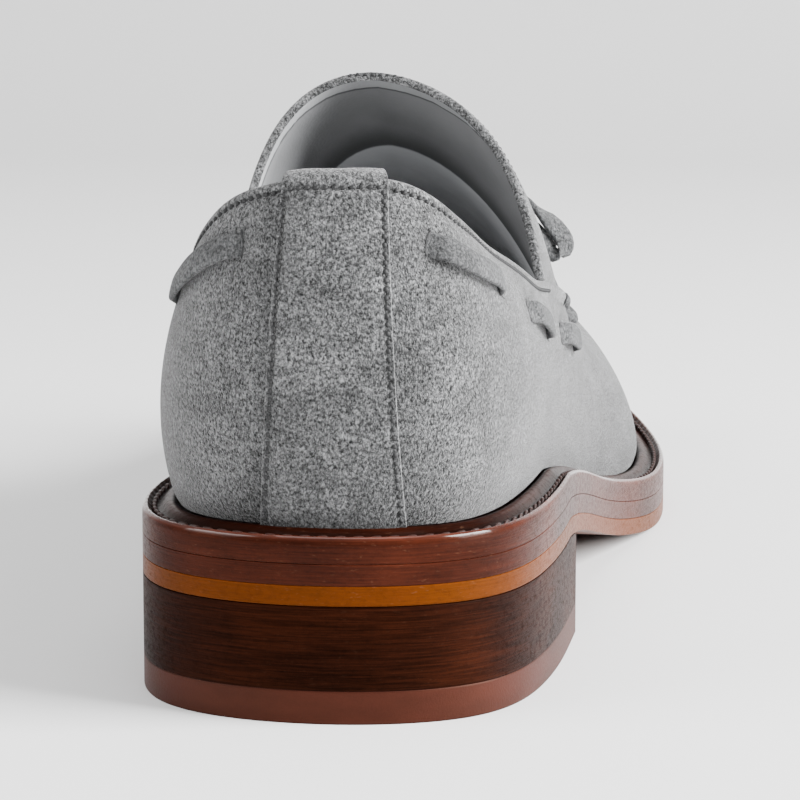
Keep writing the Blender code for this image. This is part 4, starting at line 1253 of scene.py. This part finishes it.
class LOAFER_OT_heel(bpy.types.Operator):
    """Build the stacked heel and its top lift"""

    bl_idname = "loafer.heel"
    bl_label = "Heel"

    def execute(self, context):
        self.block("heel_block", TOP_LIFT + SEAM / 2, None, "stack", "stacked_leather", ["heel_stack"])
        self.block("lift_block", 0.0, TOP_LIFT + SEAM / 2, "lift", "top_lift_rubber", ["top_lift"])
        return {"FINISHED"}

    def outline(self, inset, count=90):
        """Plan of the heel: up the outer side, across the hollow front and back down the inner side."""
        ends = [float(np.interp(HEEL_BREAST - inset, SIDES[side][0][:, 1], SHARES)) for side in (1, -1)]
        spread = np.sin(np.linspace(0, math.pi / 2, count))
        outer = [outline_point(1, a, inset) for a in ends[0] * spread]
        inner = [outline_point(-1, a, inset) for a in ends[1] * spread]
        front = []
        for share in np.linspace(0, 1, 24)[1:-1]:
            hollow = BREAST_HOLLOW * math.sin(math.pi * share)
            front.append(outer[-1] + (inner[-1] - outer[-1]) * share - np.array((0, hollow)))
        return np.array(outer + front + inner[:0:-1]), np.array(outer), np.array(inner)

    def block(self, name, low, high, finish, slot, replaces):
        """A block of the heel between two heights, reaching up to the outsole where high is None."""
        # inset, share of the height, distance above that, tone
        levels = [(inset, 0.0, up, tone) for inset, up, tone, _ in HEEL_ROUNDING]
        levels += [(0.0, share, 0.0, 1.0) for share in np.linspace(0.12, 0.92, 8)]
        levels += [(inset, 1.0, -up, tone) for inset, up, _, tone in HEEL_ROUNDING[::-1]]
        rows = []
        for inset, share, up, _ in levels:
            plan, _, _ = self.outline(inset)
            top = sole_bottom(plan[:, 1]) - SEAM / 2 if high is None else high
            rows.append(np.column_stack([plan, low + (top - low) * share + up + np.zeros(len(plan))]))
        rows = np.array(rows)
        middle = np.array([0.0, 0.04, 0.01])
        shell = Shell(name)
        shell.sheet(rows, around=True, out=(rows - middle) * (1, 1, 0), tone=np.array(levels)[:, 3:])
        if low == 0.0:
            _, outer, inner = self.outline(HEEL_ROUNDING[0][0])
            weight = smooth(0.55, 1.0, np.linspace(0, 1, len(outer)))
            grid = []
            for share in np.linspace(0, 1, 24):
                line = outer * (1 - share) + inner * share
                line[:, 1] -= weight * BREAST_HOLLOW * math.sin(math.pi * share)
                grid.append(np.column_stack([line, np.zeros(len(line))]))
            # The tread a little darker: painted shade where it stands on the floor
            shell.sheet(np.array(grid), out=(0, 0, -1), tone=0.95)
        shell.make([material_of(finish)], slot, replaces)


class LOAFER_OT_insole(bpy.types.Operator):
    """Lay the insole"""

    bl_idname = "loafer.insole"
    bl_label = "Insole"

    def execute(self, context):
        half = sole_stations(150)
        outer, inner = (np.array([foot_line(side, a, WALL - INSOLE_LAP) for a in half]) for side in (1, -1))
        grid, tones = [], []
        for share in np.linspace(0, 1, 31):
            line = outer * (1 - share) + inner * share
            crown = math.sin(math.pi * share) ** 0.6
            low = welt_top(line[:, 1]) + INSOLE_RISE - 0.0004 + 0.0004 * crown
            grid.append(np.column_stack([line, low]))
            # Darker towards both sides: painted shade where the insole meets the lining
            tones.append(np.clip(0.75 + 0.3 * crown, 0, 1) - 0.25 * bell(line[:, 1], 0.074, 0.0007))
        shell = Shell("insole_sock")
        shell.sheet(np.array(grid), out=(0, 0, 1), tone=np.array(tones))
        shell.make([material_of("insole")], "insole_grey", ["insole"])
        return {"FINISHED"}


# Depths of the skirt's rows below its edge, as far as its seams and the lace need them close together
EDGE_DEPTHS = np.array([0.0, 0.3, 0.6, 0.9, 1.1, 1.3, 1.5, 1.7, 1.95, 2.3, 2.7, 3.1, 3.8, 4.7, 5.5, 6.3,
                        7.0, 7.7, 8.4, 9.1, 9.8, 10.5, 11.3, 12.2]) / 1000


def rim(point, normal, above, lift, down, tall):
    """A half turn of points over an edge, from lift outside the form to down inside it."""
    angles = np.linspace(0, math.pi, 9)
    middle, radius = (lift - down) / 2, (lift + down) / 2
    return point + np.outer(middle + radius * np.cos(angles), normal) + np.outer(tall * np.sin(angles), above)


def add_rims(shell, rims, tones, around):
    """Adds the turns over an edge, facing away from a line just below their middles."""
    rims = np.array(rims)
    shell.columns(rims, rims - (rims.mean(axis=1)[:, None] - (0, 0, 0.001)), tones, around)


class LOAFER_OT_upper(bpy.types.Operator):
    """Shape the suede skirt, the apron with its tongue, and the lining"""

    bl_idname = "loafer.upper"
    bl_label = "Upper"

    def execute(self, context):
        self.sizes = context.scene.loafer_sizes
        shell = Shell("suede_upper")
        self.stations = ring_stations()
        self.slits = slit_places()
        self.edge_run = running(np.array([form(s, a, edge_t(s, a)) for s, a in self.stations]))
        self.skirt(shell)
        self.apron(shell)
        self.lining(shell)
        shell.make([material_of("suede"), material_of("lining")], "grey_suede", ["upper"], weld=0.000004)
        return {"FINISHED"}

    def skirt_lift(self, a, depth, run):
        """How far the skirt's surface stands off the form at a depth below its edge, and its tone: painted highlight
        on the collar's bead and the apron's ridge, painted shade in the grooves beside them.
        """
        collar = 1 - smooth(NOTCH - 0.004, NOTCH + 0.018, a)
        toe = smooth(0.62, 0.80, a)
        bead = self.sizes.collar_bead * bell(depth, 0.0005, 0.0008)
        groove = bell(depth, COLLAR_SEAM, 0.00032)
        ridge = self.sizes.apron_ridge * bell(depth, 0.0007, 0.0011)
        pinch = 0.5 + 0.5 * math.cos(2 * math.pi * run / GATHER_PITCH)
        pleats = self.sizes.pleat * toe * pinch * np.exp(-depth / 0.0035)
        lift = collar * (bead - 0.00022 * groove) + (1 - collar) * (ridge - 0.00016 * bell(depth, 0.0028, 0.0006))
        lift = lift - pleats * (1 - collar)
        # Tone: painted highlight on the collar's bead and beside the apron's ridge, painted shade in the collar's
        # seam groove and in the groove below the ridge
        tone = 1 + collar * (0.10 * bell(depth, 0.0008, 0.0010) - 0.42 * groove)
        tone = tone - (1 - collar) * (0.35 * bell(depth, 0.0029, 0.0006) - 0.10 * bell(depth, 0.0007, 0.0009))
        return lift, tone

    def slit_marks(self, side, a, depths, lift, tone):
        """Presses the suede down round the slits that take the lace, and darkens it there as painted shade in the
        hollow.
        """
        for slit_side, slit_a, scale in self.slits:
            if slit_side != side or abs(a - slit_a) > 0.03:
                continue
            away = (a - slit_a) * scale
            near = np.exp(-(away / 0.0016) ** 2) * bell(depths, LACE_DROP, 0.0030)
            lift = lift - 0.00055 * near
            tone = tone * (1 - 0.45 * near)
        return lift, tone

    def skirt(self, shell):
        """The skirt's outside from foot line to edge, and the turn of its edge."""
        rest = np.linspace(0, 1, 27)[1:]
        rest = rest + 0.035 * np.sin(math.pi * rest)
        grid, tones, normals = [], [], []
        rims, rim_painted_light = [], []
        for (side, a), run in zip(self.stations, self.edge_run):
            top = edge_t(side, a)
            total = section_length(side, a, 0, top)
            depths = np.concatenate([EDGE_DEPTHS, EDGE_DEPTHS[-1] + (total - EDGE_DEPTHS[-1]) * rest])
            depths = np.minimum(depths, total)
            ts = depth_t(side, a, top, depths)
            lift, tone = self.skirt_lift(a, depths, run)
            lift, tone = self.slit_marks(side, a, depths, lift, tone)
            above_foot = total - depths
            # Darker towards the foot line: painted shade low on the upper beside the welt
            tone = tone * (1 - 0.34 * np.exp(-above_foot / 0.0022) - 0.36 * np.exp(-above_foot / 0.012))
            lift = lift - 0.0004 * np.exp(-above_foot / 0.0008)
            point, _, above, normal = frame_at(side, a, ts)
            grid.append(point + normal * lift[:, None])
            tones.append(tone)
            normals.append(normal)
            collar = 1 - float(smooth(NOTCH - 0.001, NOTCH + 0.012, a))
            down = collar * WALL + (1 - collar) * (STEP + 0.0004)
            tall = 0.0007 * collar + 0.0005 * (1 - collar)
            rims.append(rim(point[0], normal[0], above[0], lift[0], down, tall))
            # Tones from 1.05 over the edge to 0.75 inside: painted highlight on the turn, painted shade as it goes
            # in
            rim_painted_light.append(tone[0] * np.linspace(1.05, 0.75, 9))
        shell.columns(grid, normals, tones)
        add_rims(shell, rims, rim_painted_light, True)

    def apron_column(self, side, a, count=26):
        """One side's column of the apron, from under the skirt's edge up to the tongue's edge or the ridge."""
        top, low = top_t(side, a), edge_t(side, a)
        under = t_below(side, a, low, APRON_TUCK)
        total = section_length(side, a, under, top)
        depths = np.linspace(0, 1, count) ** 1.25 * total
        ts = depth_t(side, a, top, depths, under)
        free = 1 - float(smooth(THROAT - 0.002, THROAT + 0.004, a))
        groove = bell(depths, TONGUE_SEAM, 0.0004)
        lift = -STEP + free * (0.0003 * bell(depths, 0.0010, 0.0012) - 0.0002 * groove)
        # Painted highlight on the tongue's bead and painted shade in its seam groove
        tone = 1 + free * (0.12 * bell(depths, 0.0008, 0.0010) - 0.38 * groove)
        near_border = total - depths - APRON_TUCK
        # Darker near the border where the apron tucks under the skirt: painted shade
        tone = tone * (1 - 0.30 * np.exp(-np.clip(near_border, 0, None) / 0.0009))
        point, _, _, normal = frame_at(side, a, ts)
        return point + normal * lift[:, None], normal, tone

    def apron(self, shell):
        """The apron and the tongue, one step below the skirt, and the turn of the tongue's edge."""
        half = sorted({a for _, a in self.stations if a >= NOTCH})
        lift = -STEP + 0.0003 * float(bell(0, 0.0010, 0.0012))
        for side in (1, -1):
            shell.columns(*zip(*[self.apron_column(side, a) for a in half]), around=False)
            rims = []
            for a in half:
                if a <= THROAT + 1e-9:
                    point, _, above, normal = frame_at(side, a, top_t(side, a))
                    rims.append(rim(point, normal, above, lift, WALL, 0.0006))
            # Tones from 1.1 over the tongue's edge to 0.85 inside: painted highlight on the turn, painted shade as
            # it goes in
            add_rims(shell, rims, np.tile(np.linspace(1.1, 0.85, 9), (len(rims), 1)), False)

    def lining(self, shell):
        """The inside. tone holds each point's distance in mm from the collar's and the throat's edge, and mark its
        distance in mm past the seam where the tongue's lining, darkened before it by a painted shadow, meets the
        vamp's, painted lighter as light falling in through the opening."""
        near = np.array([0.0, 0.4, 0.8, 1.3, 2.0, 3.0, 4.0, 4.6, 5.2, 6.5]) / 1000
        rest = np.linspace(0, 1, 31)[1:]
        edge = np.array([skin(s, a, top_t(s, a), -WALL) for s, a in self.stations if a <= THROAT + 1e-9])
        grid, tones, marks, normals = [], [], [], []
        for side, a in self.stations:
            top = top_t(side, a)
            total = section_length(side, a, 0, top)
            depths = np.concatenate([near, near[-1] + (total - near[-1]) * rest])
            ts = depth_t(side, a, top, depths)
            point, _, _, normal = frame_at(side, a, ts)
            away = np.linalg.norm((point - normal * WALL)[:, None] - edge[None], axis=2).min(axis=1)
            lift = -WALL + 0.0003 * bell(away, 0.0004, 0.0004) + 0.00025 * smooth(0.0046, 0.0042, away)
            grid.append(point + normal * lift[:, None])
            tones.append(away * 1000)
            marks.append((point[:, 1] - (LINING_SEAM + 0.003 * ts)) * 1000)
            normals.append(-normal)
        shell.columns(grid, normals, tones, mark=np.array(marks).T, finish=1)


def lace_t(side, a):
    """t of the lace's middle line, LACE_DROP below the skirt's edge."""
    edge = edge_t(side, a)
    return edge - LACE_DROP / length_per_t(side, a, edge)


def lace_path(side):
    """Shares and running lengths along the lace's middle line, from the back seam forwards."""
    shares = np.linspace(0, share_at(FLAT_START), 120)
    return shares, running(np.array([form(side, a, lace_t(side, a)) for a in shares]))


def bar_starts(side):
    """Running lengths at which the bars of lace start."""
    return [LACE_START + side * STRIP_SHIFT + number * (LACE_BAR + LACE_GAP) for number in range(LACE_BARS)]


def slit_places():
    """(side, share, metres per share) of every slit in the collar."""
    places = []
    for side in (1, -1):
        shares, run = lace_path(side)
        for start in bar_starts(side):
            for length in (start, start + LACE_BAR):
                a = float(np.interp(length, run, shares))
                scale = 0.01 / (np.interp(length + 0.005, run, shares) - np.interp(length - 0.005, run, shares))
                places.append((side, a, scale))
    return places


class LOAFER_OT_lace(bpy.types.Operator):
    """Thread the lace through the collar and over the instep"""

    bl_idname = "loafer.lace"
    bl_label = "Lace"

    def execute(self, context):
        for side, word in ((1, "outer"), (-1, "inner")):
            shell, slits = Shell(f"bars_{word}"), Shell(f"slits_{word}")
            shares, run = lace_path(side)
            for number, start in enumerate(bar_starts(side)):
                self.bar(shell, side, start, shares, run, number * 1.3 + side)
                self.slit(slits, side, float(np.interp(start - SLIT_PAST, run, shares)))
                self.slit(slits, side, float(np.interp(start + LACE_BAR + SLIT_PAST, run, shares)))
            nodes = [f"lace_bar_{word}_{number + 1}" for number in range(LACE_BARS)]
            shell.make([material_of("lace")], "grey_lace", nodes)
            # The slits are near-black sheets of painted shade, in the thread's colour
            slits.make([material_of("thread")], "grey_suede")
        self.band()
        return {"FINISHED"}

    def bar(self, shell, side, start, shares, run, seed):
        """One stretch of lace that comes out of a slit, runs along and dives into the next."""
        centres, across, outward = [], [], []
        past, deep = 0.0004, 0.0009
        for length in np.linspace(start - past, start + LACE_BAR + past, 26):
            a = float(np.interp(length, run, shares))
            point, ahead, _, normal = frame_at(side, a, lace_t(side, a))
            inside = min(length - start, start + LACE_BAR - length)
            rise = float(smooth(-past, 0.0030, inside))
            belly = 0.0006 * math.sin(math.pi * np.clip((length - start) / LACE_BAR, 0, 1))
            centres.append(point + normal * (-deep + rise * (deep + GAP + LACE_THICK / 2) + belly))
            across.append(unit(np.cross(normal, ahead)))
            outward.append(normal)
        thong(shell, centres, across, outward, LACE_WIDTH, LACE_THICK, 0.03, seed)

    def slit(self, shell, side, a):
        """A dark sheet of painted shade for the opening of a slit, a lens of SLIT_HEIGHT pressed a little into the
        suede.
        """
        point, ahead, _, normal = frame_at(side, a, lace_t(side, a))
        v = np.linspace(-1, 1, 15)
        half = 0.00040 * np.sqrt(np.clip(1 - v ** 2, 0, 1))
        middle = point - normal * 0.00030 + np.outer(v * SLIT_HEIGHT / 2, unit(np.cross(normal, ahead)))
        middle = middle + np.outer(0.0002 * v ** 2, normal)
        grid = [middle + np.outer(k * half, ahead) + normal * 0.00012 * (1 - abs(k)) for k in (-1, 0, 1)]
        shell.sheet(grid, out=normal)

    def band(self):
        """The crossing over the instep, tucked under the apron's border at both ends."""
        reach = [side * (section_length(side, BAND, edge_t(side, BAND), 1) - 0.0006) for side in (1, -1)]
        centres, across, outward = [], [], []
        for distance in np.linspace(reach[1], reach[0], 60):
            point, ahead, _, normal = vamp_frame(BAND, distance)
            centres.append(point + normal * (APRON_GAP - STEP + LACE_THICK / 2))
            across.append(ahead)
            outward.append(normal)
        shell = Shell("band_thong")
        thong(shell, centres, across, outward, LACE_WIDTH, LACE_THICK, 0.02, 0.7)
        shell.make([material_of("lace")], "grey_lace", ["lace_band"])


# Shares beside the back seam, enough for the back strip's width
BACK_SHARES = np.linspace(0, 0.2, 160)


def strip_t(edge, share):
    """t at a share of the way up the back strip, below an edge."""
    return STRIP_FOOT + (edge - STRIP_FOOT) * share


def strip_half(share):
    """Half the back strip's width at a share of the way up."""
    return (STRIP_WIDTH_LOW + (STRIP_WIDTH_TOP - STRIP_WIDTH_LOW) * share) / 2


def back_run(share):
    """Running lengths sideways from the back seam, at a share of the way up the strip."""
    return running(form(1, BACK_SHARES, strip_t(edge_t(1, 0.0), share)))


def beside_seam(distance, run):
    """(side, share) at a signed distance sideways from the back seam."""
    return 1 if distance >= 0 else -1, float(np.interp(abs(distance), run, BACK_SHARES))


class LOAFER_OT_back_strip(bpy.types.Operator):
    """Fold the back strip over the collar"""

    bl_idname = "loafer.back_strip"
    bl_label = "Back strip"

    def execute(self, context):
        steps = np.concatenate([np.linspace(0, 0.93, 40), np.linspace(0.94, 1, 12)])
        runs = [back_run(share) for share in steps]
        u = np.concatenate([[-1.0, -1.0, -0.985], np.linspace(-0.96, 0.96, 37), [0.985, 1.0, 1.0]])
        lifts = np.full(len(u), GAP + STRIP_THICK)
        lifts[[0, -1]] = -0.0002
        lifts[[1, -2]] = GAP + STRIP_THICK * 0.55
        lifts[[2, -3]] = GAP + STRIP_THICK * 0.92
        grid, tones, normals = [], [], []
        for across, lift in zip(u, lifts):
            points, tone, out = self.column(across, lift, steps, runs)
            grid.append(points)
            tones.append(tone * (1.12 if abs(across) > 0.975 else 1.0))
            normals.append(out)
        shell = Shell("strip_suede")
        shell.sheet(grid, out=normals, tone=tones)
        shell.make([material_of("suede")], "grey_suede", ["back_strip"])
        return {"FINISHED"}

    def column(self, across, lift, steps, runs):
        """One column up the outside, over the collar and down inside."""
        points, tones, outs = [], [], []
        for share, run in zip(steps, runs):
            half = strip_half(share)
            side, a = beside_seam(across * half + STRIP_SHIFT, run)
            edge = edge_t(side, a)
            t = strip_t(edge, share)
            point, _, above, normal = frame_at(side, a, t)
            seam = float(bell(half * (1 - abs(across)), STITCH_INSET, 0.00035))
            below = section_length(side, a, t, edge) if t < edge else 0.0
            turn = float(bell(below, COLLAR_SEAM, 0.0004))
            points.append(point + normal * (lift - 0.00035 * max(seam, turn) * (abs(across) < 0.98)))
            foot = section_length(side, a, 0, t)
            # Darker in the stitch grooves and the collar's seam, and near the welt: painted shade
            tones.append((1 - 0.45 * max(seam, 0.7 * turn)) * (1 - 0.34 * math.exp(-foot / 0.0022)))
            outs.append(normal)
        for angle in np.linspace(0, math.pi, 11)[1:]:
            radius = WALL / 2 + lift
            points.append(point - normal * WALL / 2 + normal * radius * math.cos(angle)
                          + above * radius * math.sin(angle))
            # The turn over the collar a little lighter: painted highlight
            tones.append(1.05)
            outs.append(normal * math.cos(angle) + above * math.sin(angle))
        for down in np.linspace(0, STRIP_TUCK, 7)[1:]:
            inner, _, _, normal = frame_at(side, a, edge - down / length_per_t(side, a, edge))
            points.append(inner - normal * (WALL + lift))
            # The part tucked inside darker: painted shade
            tones.append(0.9)
            outs.append(-normal)
        return np.array(points), np.array(tones), np.array(outs)


class LOAFER_OT_stitching(bpy.types.Operator):
    """Sew the seams of the upper and the welt"""

    bl_idname = "loafer.stitching"
    bl_label = "Stitching"

    def execute(self, context):
        self.sizes = context.scene.loafer_sizes
        seams = Shell("seam_threads")
        self.collar(seams)
        self.tongue(seams)
        self.strip(seams)
        self.apron(seams)
        seams.make([material_of("thread"), material_of("lace")], "grey_suede")
        welt = Shell("welt_threads")
        self.welt(welt)
        welt.make([material_of("welt_thread")], "welt_brown")
        return {"FINISHED"}

    def row(self, shell, places):
        """A seam through (side, share, t, lift) places."""
        points, normals = [], []
        for side, a, t, lift in places:
            point, _, _, normal = frame_at(side, a, t)
            points.append(point + normal * lift)
            normals.append(normal)
        stitches(shell, np.array(points), np.array(normals), self.sizes.stitch_pitch, self.sizes.thread)

    def collar(self, shell):
        """Along the collar, from the back strip to the notch."""
        for side in (1, -1):
            begin = float(np.interp(STRIP_WIDTH_TOP / 2 + side * STRIP_SHIFT + 0.0008, back_run(1.0), BACK_SHARES))
            places = []
            for a in np.linspace(begin, NOTCH, 90):
                places.append((side, a, t_below(side, a, edge_t(side, a), COLLAR_SEAM), -SEAM_SINK))
            self.row(shell, places)

    def tongue(self, shell):
        """Along the tongue's rising edge, over the ridge and down the other side."""
        places = []
        stations = NOTCH + (THROAT - NOTCH) * np.sin(np.linspace(0.5, math.pi / 2, 40))
        for side, order in ((1, stations), (-1, stations[::-1][1:])):
            for a in order:
                places.append((side, a, t_below(side, a, top_t(side, a), TONGUE_SEAM), -STEP - SEAM_SINK))
        self.row(shell, places)

    def strip(self, shell):
        """Down both long edges of the back strip, and across it below the collar."""
        lift = GAP + STRIP_THICK - 0.0003
        for sign in (1, -1):
            places = []
            for share in np.linspace(0.01, 0.975, 50):
                distance = sign * (strip_half(share) - STITCH_INSET) + STRIP_SHIFT
                side, a = beside_seam(distance, back_run(share))
                places.append((side, a, strip_t(edge_t(side, a), share), lift))
            self.row(shell, places)
        places = []
        for distance in np.linspace(-1, 1, 30) * (STRIP_WIDTH_TOP / 2 - STITCH_INSET) + STRIP_SHIFT:
            side, a = beside_seam(distance, back_run(1.0))
            places.append((side, a, t_below(side, a, edge_t(side, a), COLLAR_SEAM), lift))
        self.row(shell, places)

    def apron(self, shell):
        """Hand-sewn stitches across the ridge that frames the apron."""
        ridge, thread = self.sizes.apron_ridge, self.sizes.thread
        points, normals, downs = [], [], []
        half = np.linspace(NOTCH + 0.05, 1, 240)
        for side, a in both_sides(half) + [(-1, half[0])]:
            point, _, above, normal = frame_at(side, a, t_below(side, a, edge_t(side, a), 0.0008))
            points.append(point + normal * ridge)
            normals.append(normal)
            downs.append(-above)
        points, normals, downs = np.array(points), np.array(normals), np.array(downs)
        run = running(points)
        reach = np.linspace(-0.0011, 0.0022, 9)
        drop = -ridge * (1 - np.exp(-(reach / 0.0013) ** 2))
        for middle in np.arange(GATHER_PITCH / 2, run[-1], GATHER_PITCH):
            point = at_lengths(middle, run, points)
            normal, down = (unit(at_lengths(middle, run, rows)) for rows in (normals, downs))
            line = point + np.outer(reach, down) + np.outer(drop, normal)
            stitches(shell, line, np.tile(normal, (9, 1)), 0.0033, thread, length=0.92, skew=0.0, finish=1)

    def welt(self, shell):
        """In the groove of the welt, all round."""
        points = []
        for side, a in around_sole(420) + [(1, 0.0)]:
            y = read(side, a, 0)[1]
            points.append((*outline_point(side, a, 0.36 * welt_reach(y)), welt_bottom(y) + 0.83 * WELT))
        points = np.array(points)
        stitches(shell, points, np.tile([0.0, 0.0, 1.0], (len(points), 1)), self.sizes.welt_pitch,
                 self.sizes.welt_thread, length=0.80)


class LOAFER_PT_panel(bpy.types.Panel):
    """Lists the loafer's pieces and settings"""

    bl_idname = "LOAFER_PT_panel"
    bl_label = "Tassel Loafer"
    bl_space_type = "VIEW_3D"
    bl_region_type = "UI"
    bl_category = "Loafer"

    def draw(self, context):
        for operator in OPERATORS:
            self.layout.operator(operator.bl_idname)
        for group in (context.scene.loafer_sizes, context.scene.loafer_colours, context.scene.loafer_stage):
            box = self.layout.box()
            for name in group.__annotations__:
                box.prop(group, name)


OPERATORS = (LOAFER_OT_stage, LOAFER_OT_tassels, LOAFER_OT_bow, LOAFER_OT_sole, LOAFER_OT_heel, LOAFER_OT_insole,
             LOAFER_OT_upper, LOAFER_OT_lace, LOAFER_OT_back_strip, LOAFER_OT_stitching)
GROUPS = (("loafer_sizes", LoaferSizes), ("loafer_colours", LoaferColours), ("loafer_stage", LoaferStage))


def register():
    for name, group in GROUPS:
        bpy.utils.register_class(group)
        setattr(bpy.types.Scene, name, PointerProperty(type=group))
    for operator in (*OPERATORS, LOAFER_PT_panel):
        bpy.utils.register_class(operator)


def unregister():
    for operator in (LOAFER_PT_panel, *OPERATORS[::-1]):
        bpy.utils.unregister_class(operator)
    for name, group in GROUPS[::-1]:
        delattr(bpy.types.Scene, name)
        bpy.utils.unregister_class(group)


def main():
    register()
    bpy.ops.loafer.stage()
    bpy.ops.loafer.tassels()
    bpy.ops.loafer.bow()
    bpy.ops.loafer.sole()
    bpy.ops.loafer.heel()
    bpy.ops.loafer.insole()
    bpy.ops.loafer.upper()
    bpy.ops.loafer.lace()
    bpy.ops.loafer.back_strip()
    bpy.ops.loafer.stitching()


if __name__ == "__main__":
    main()
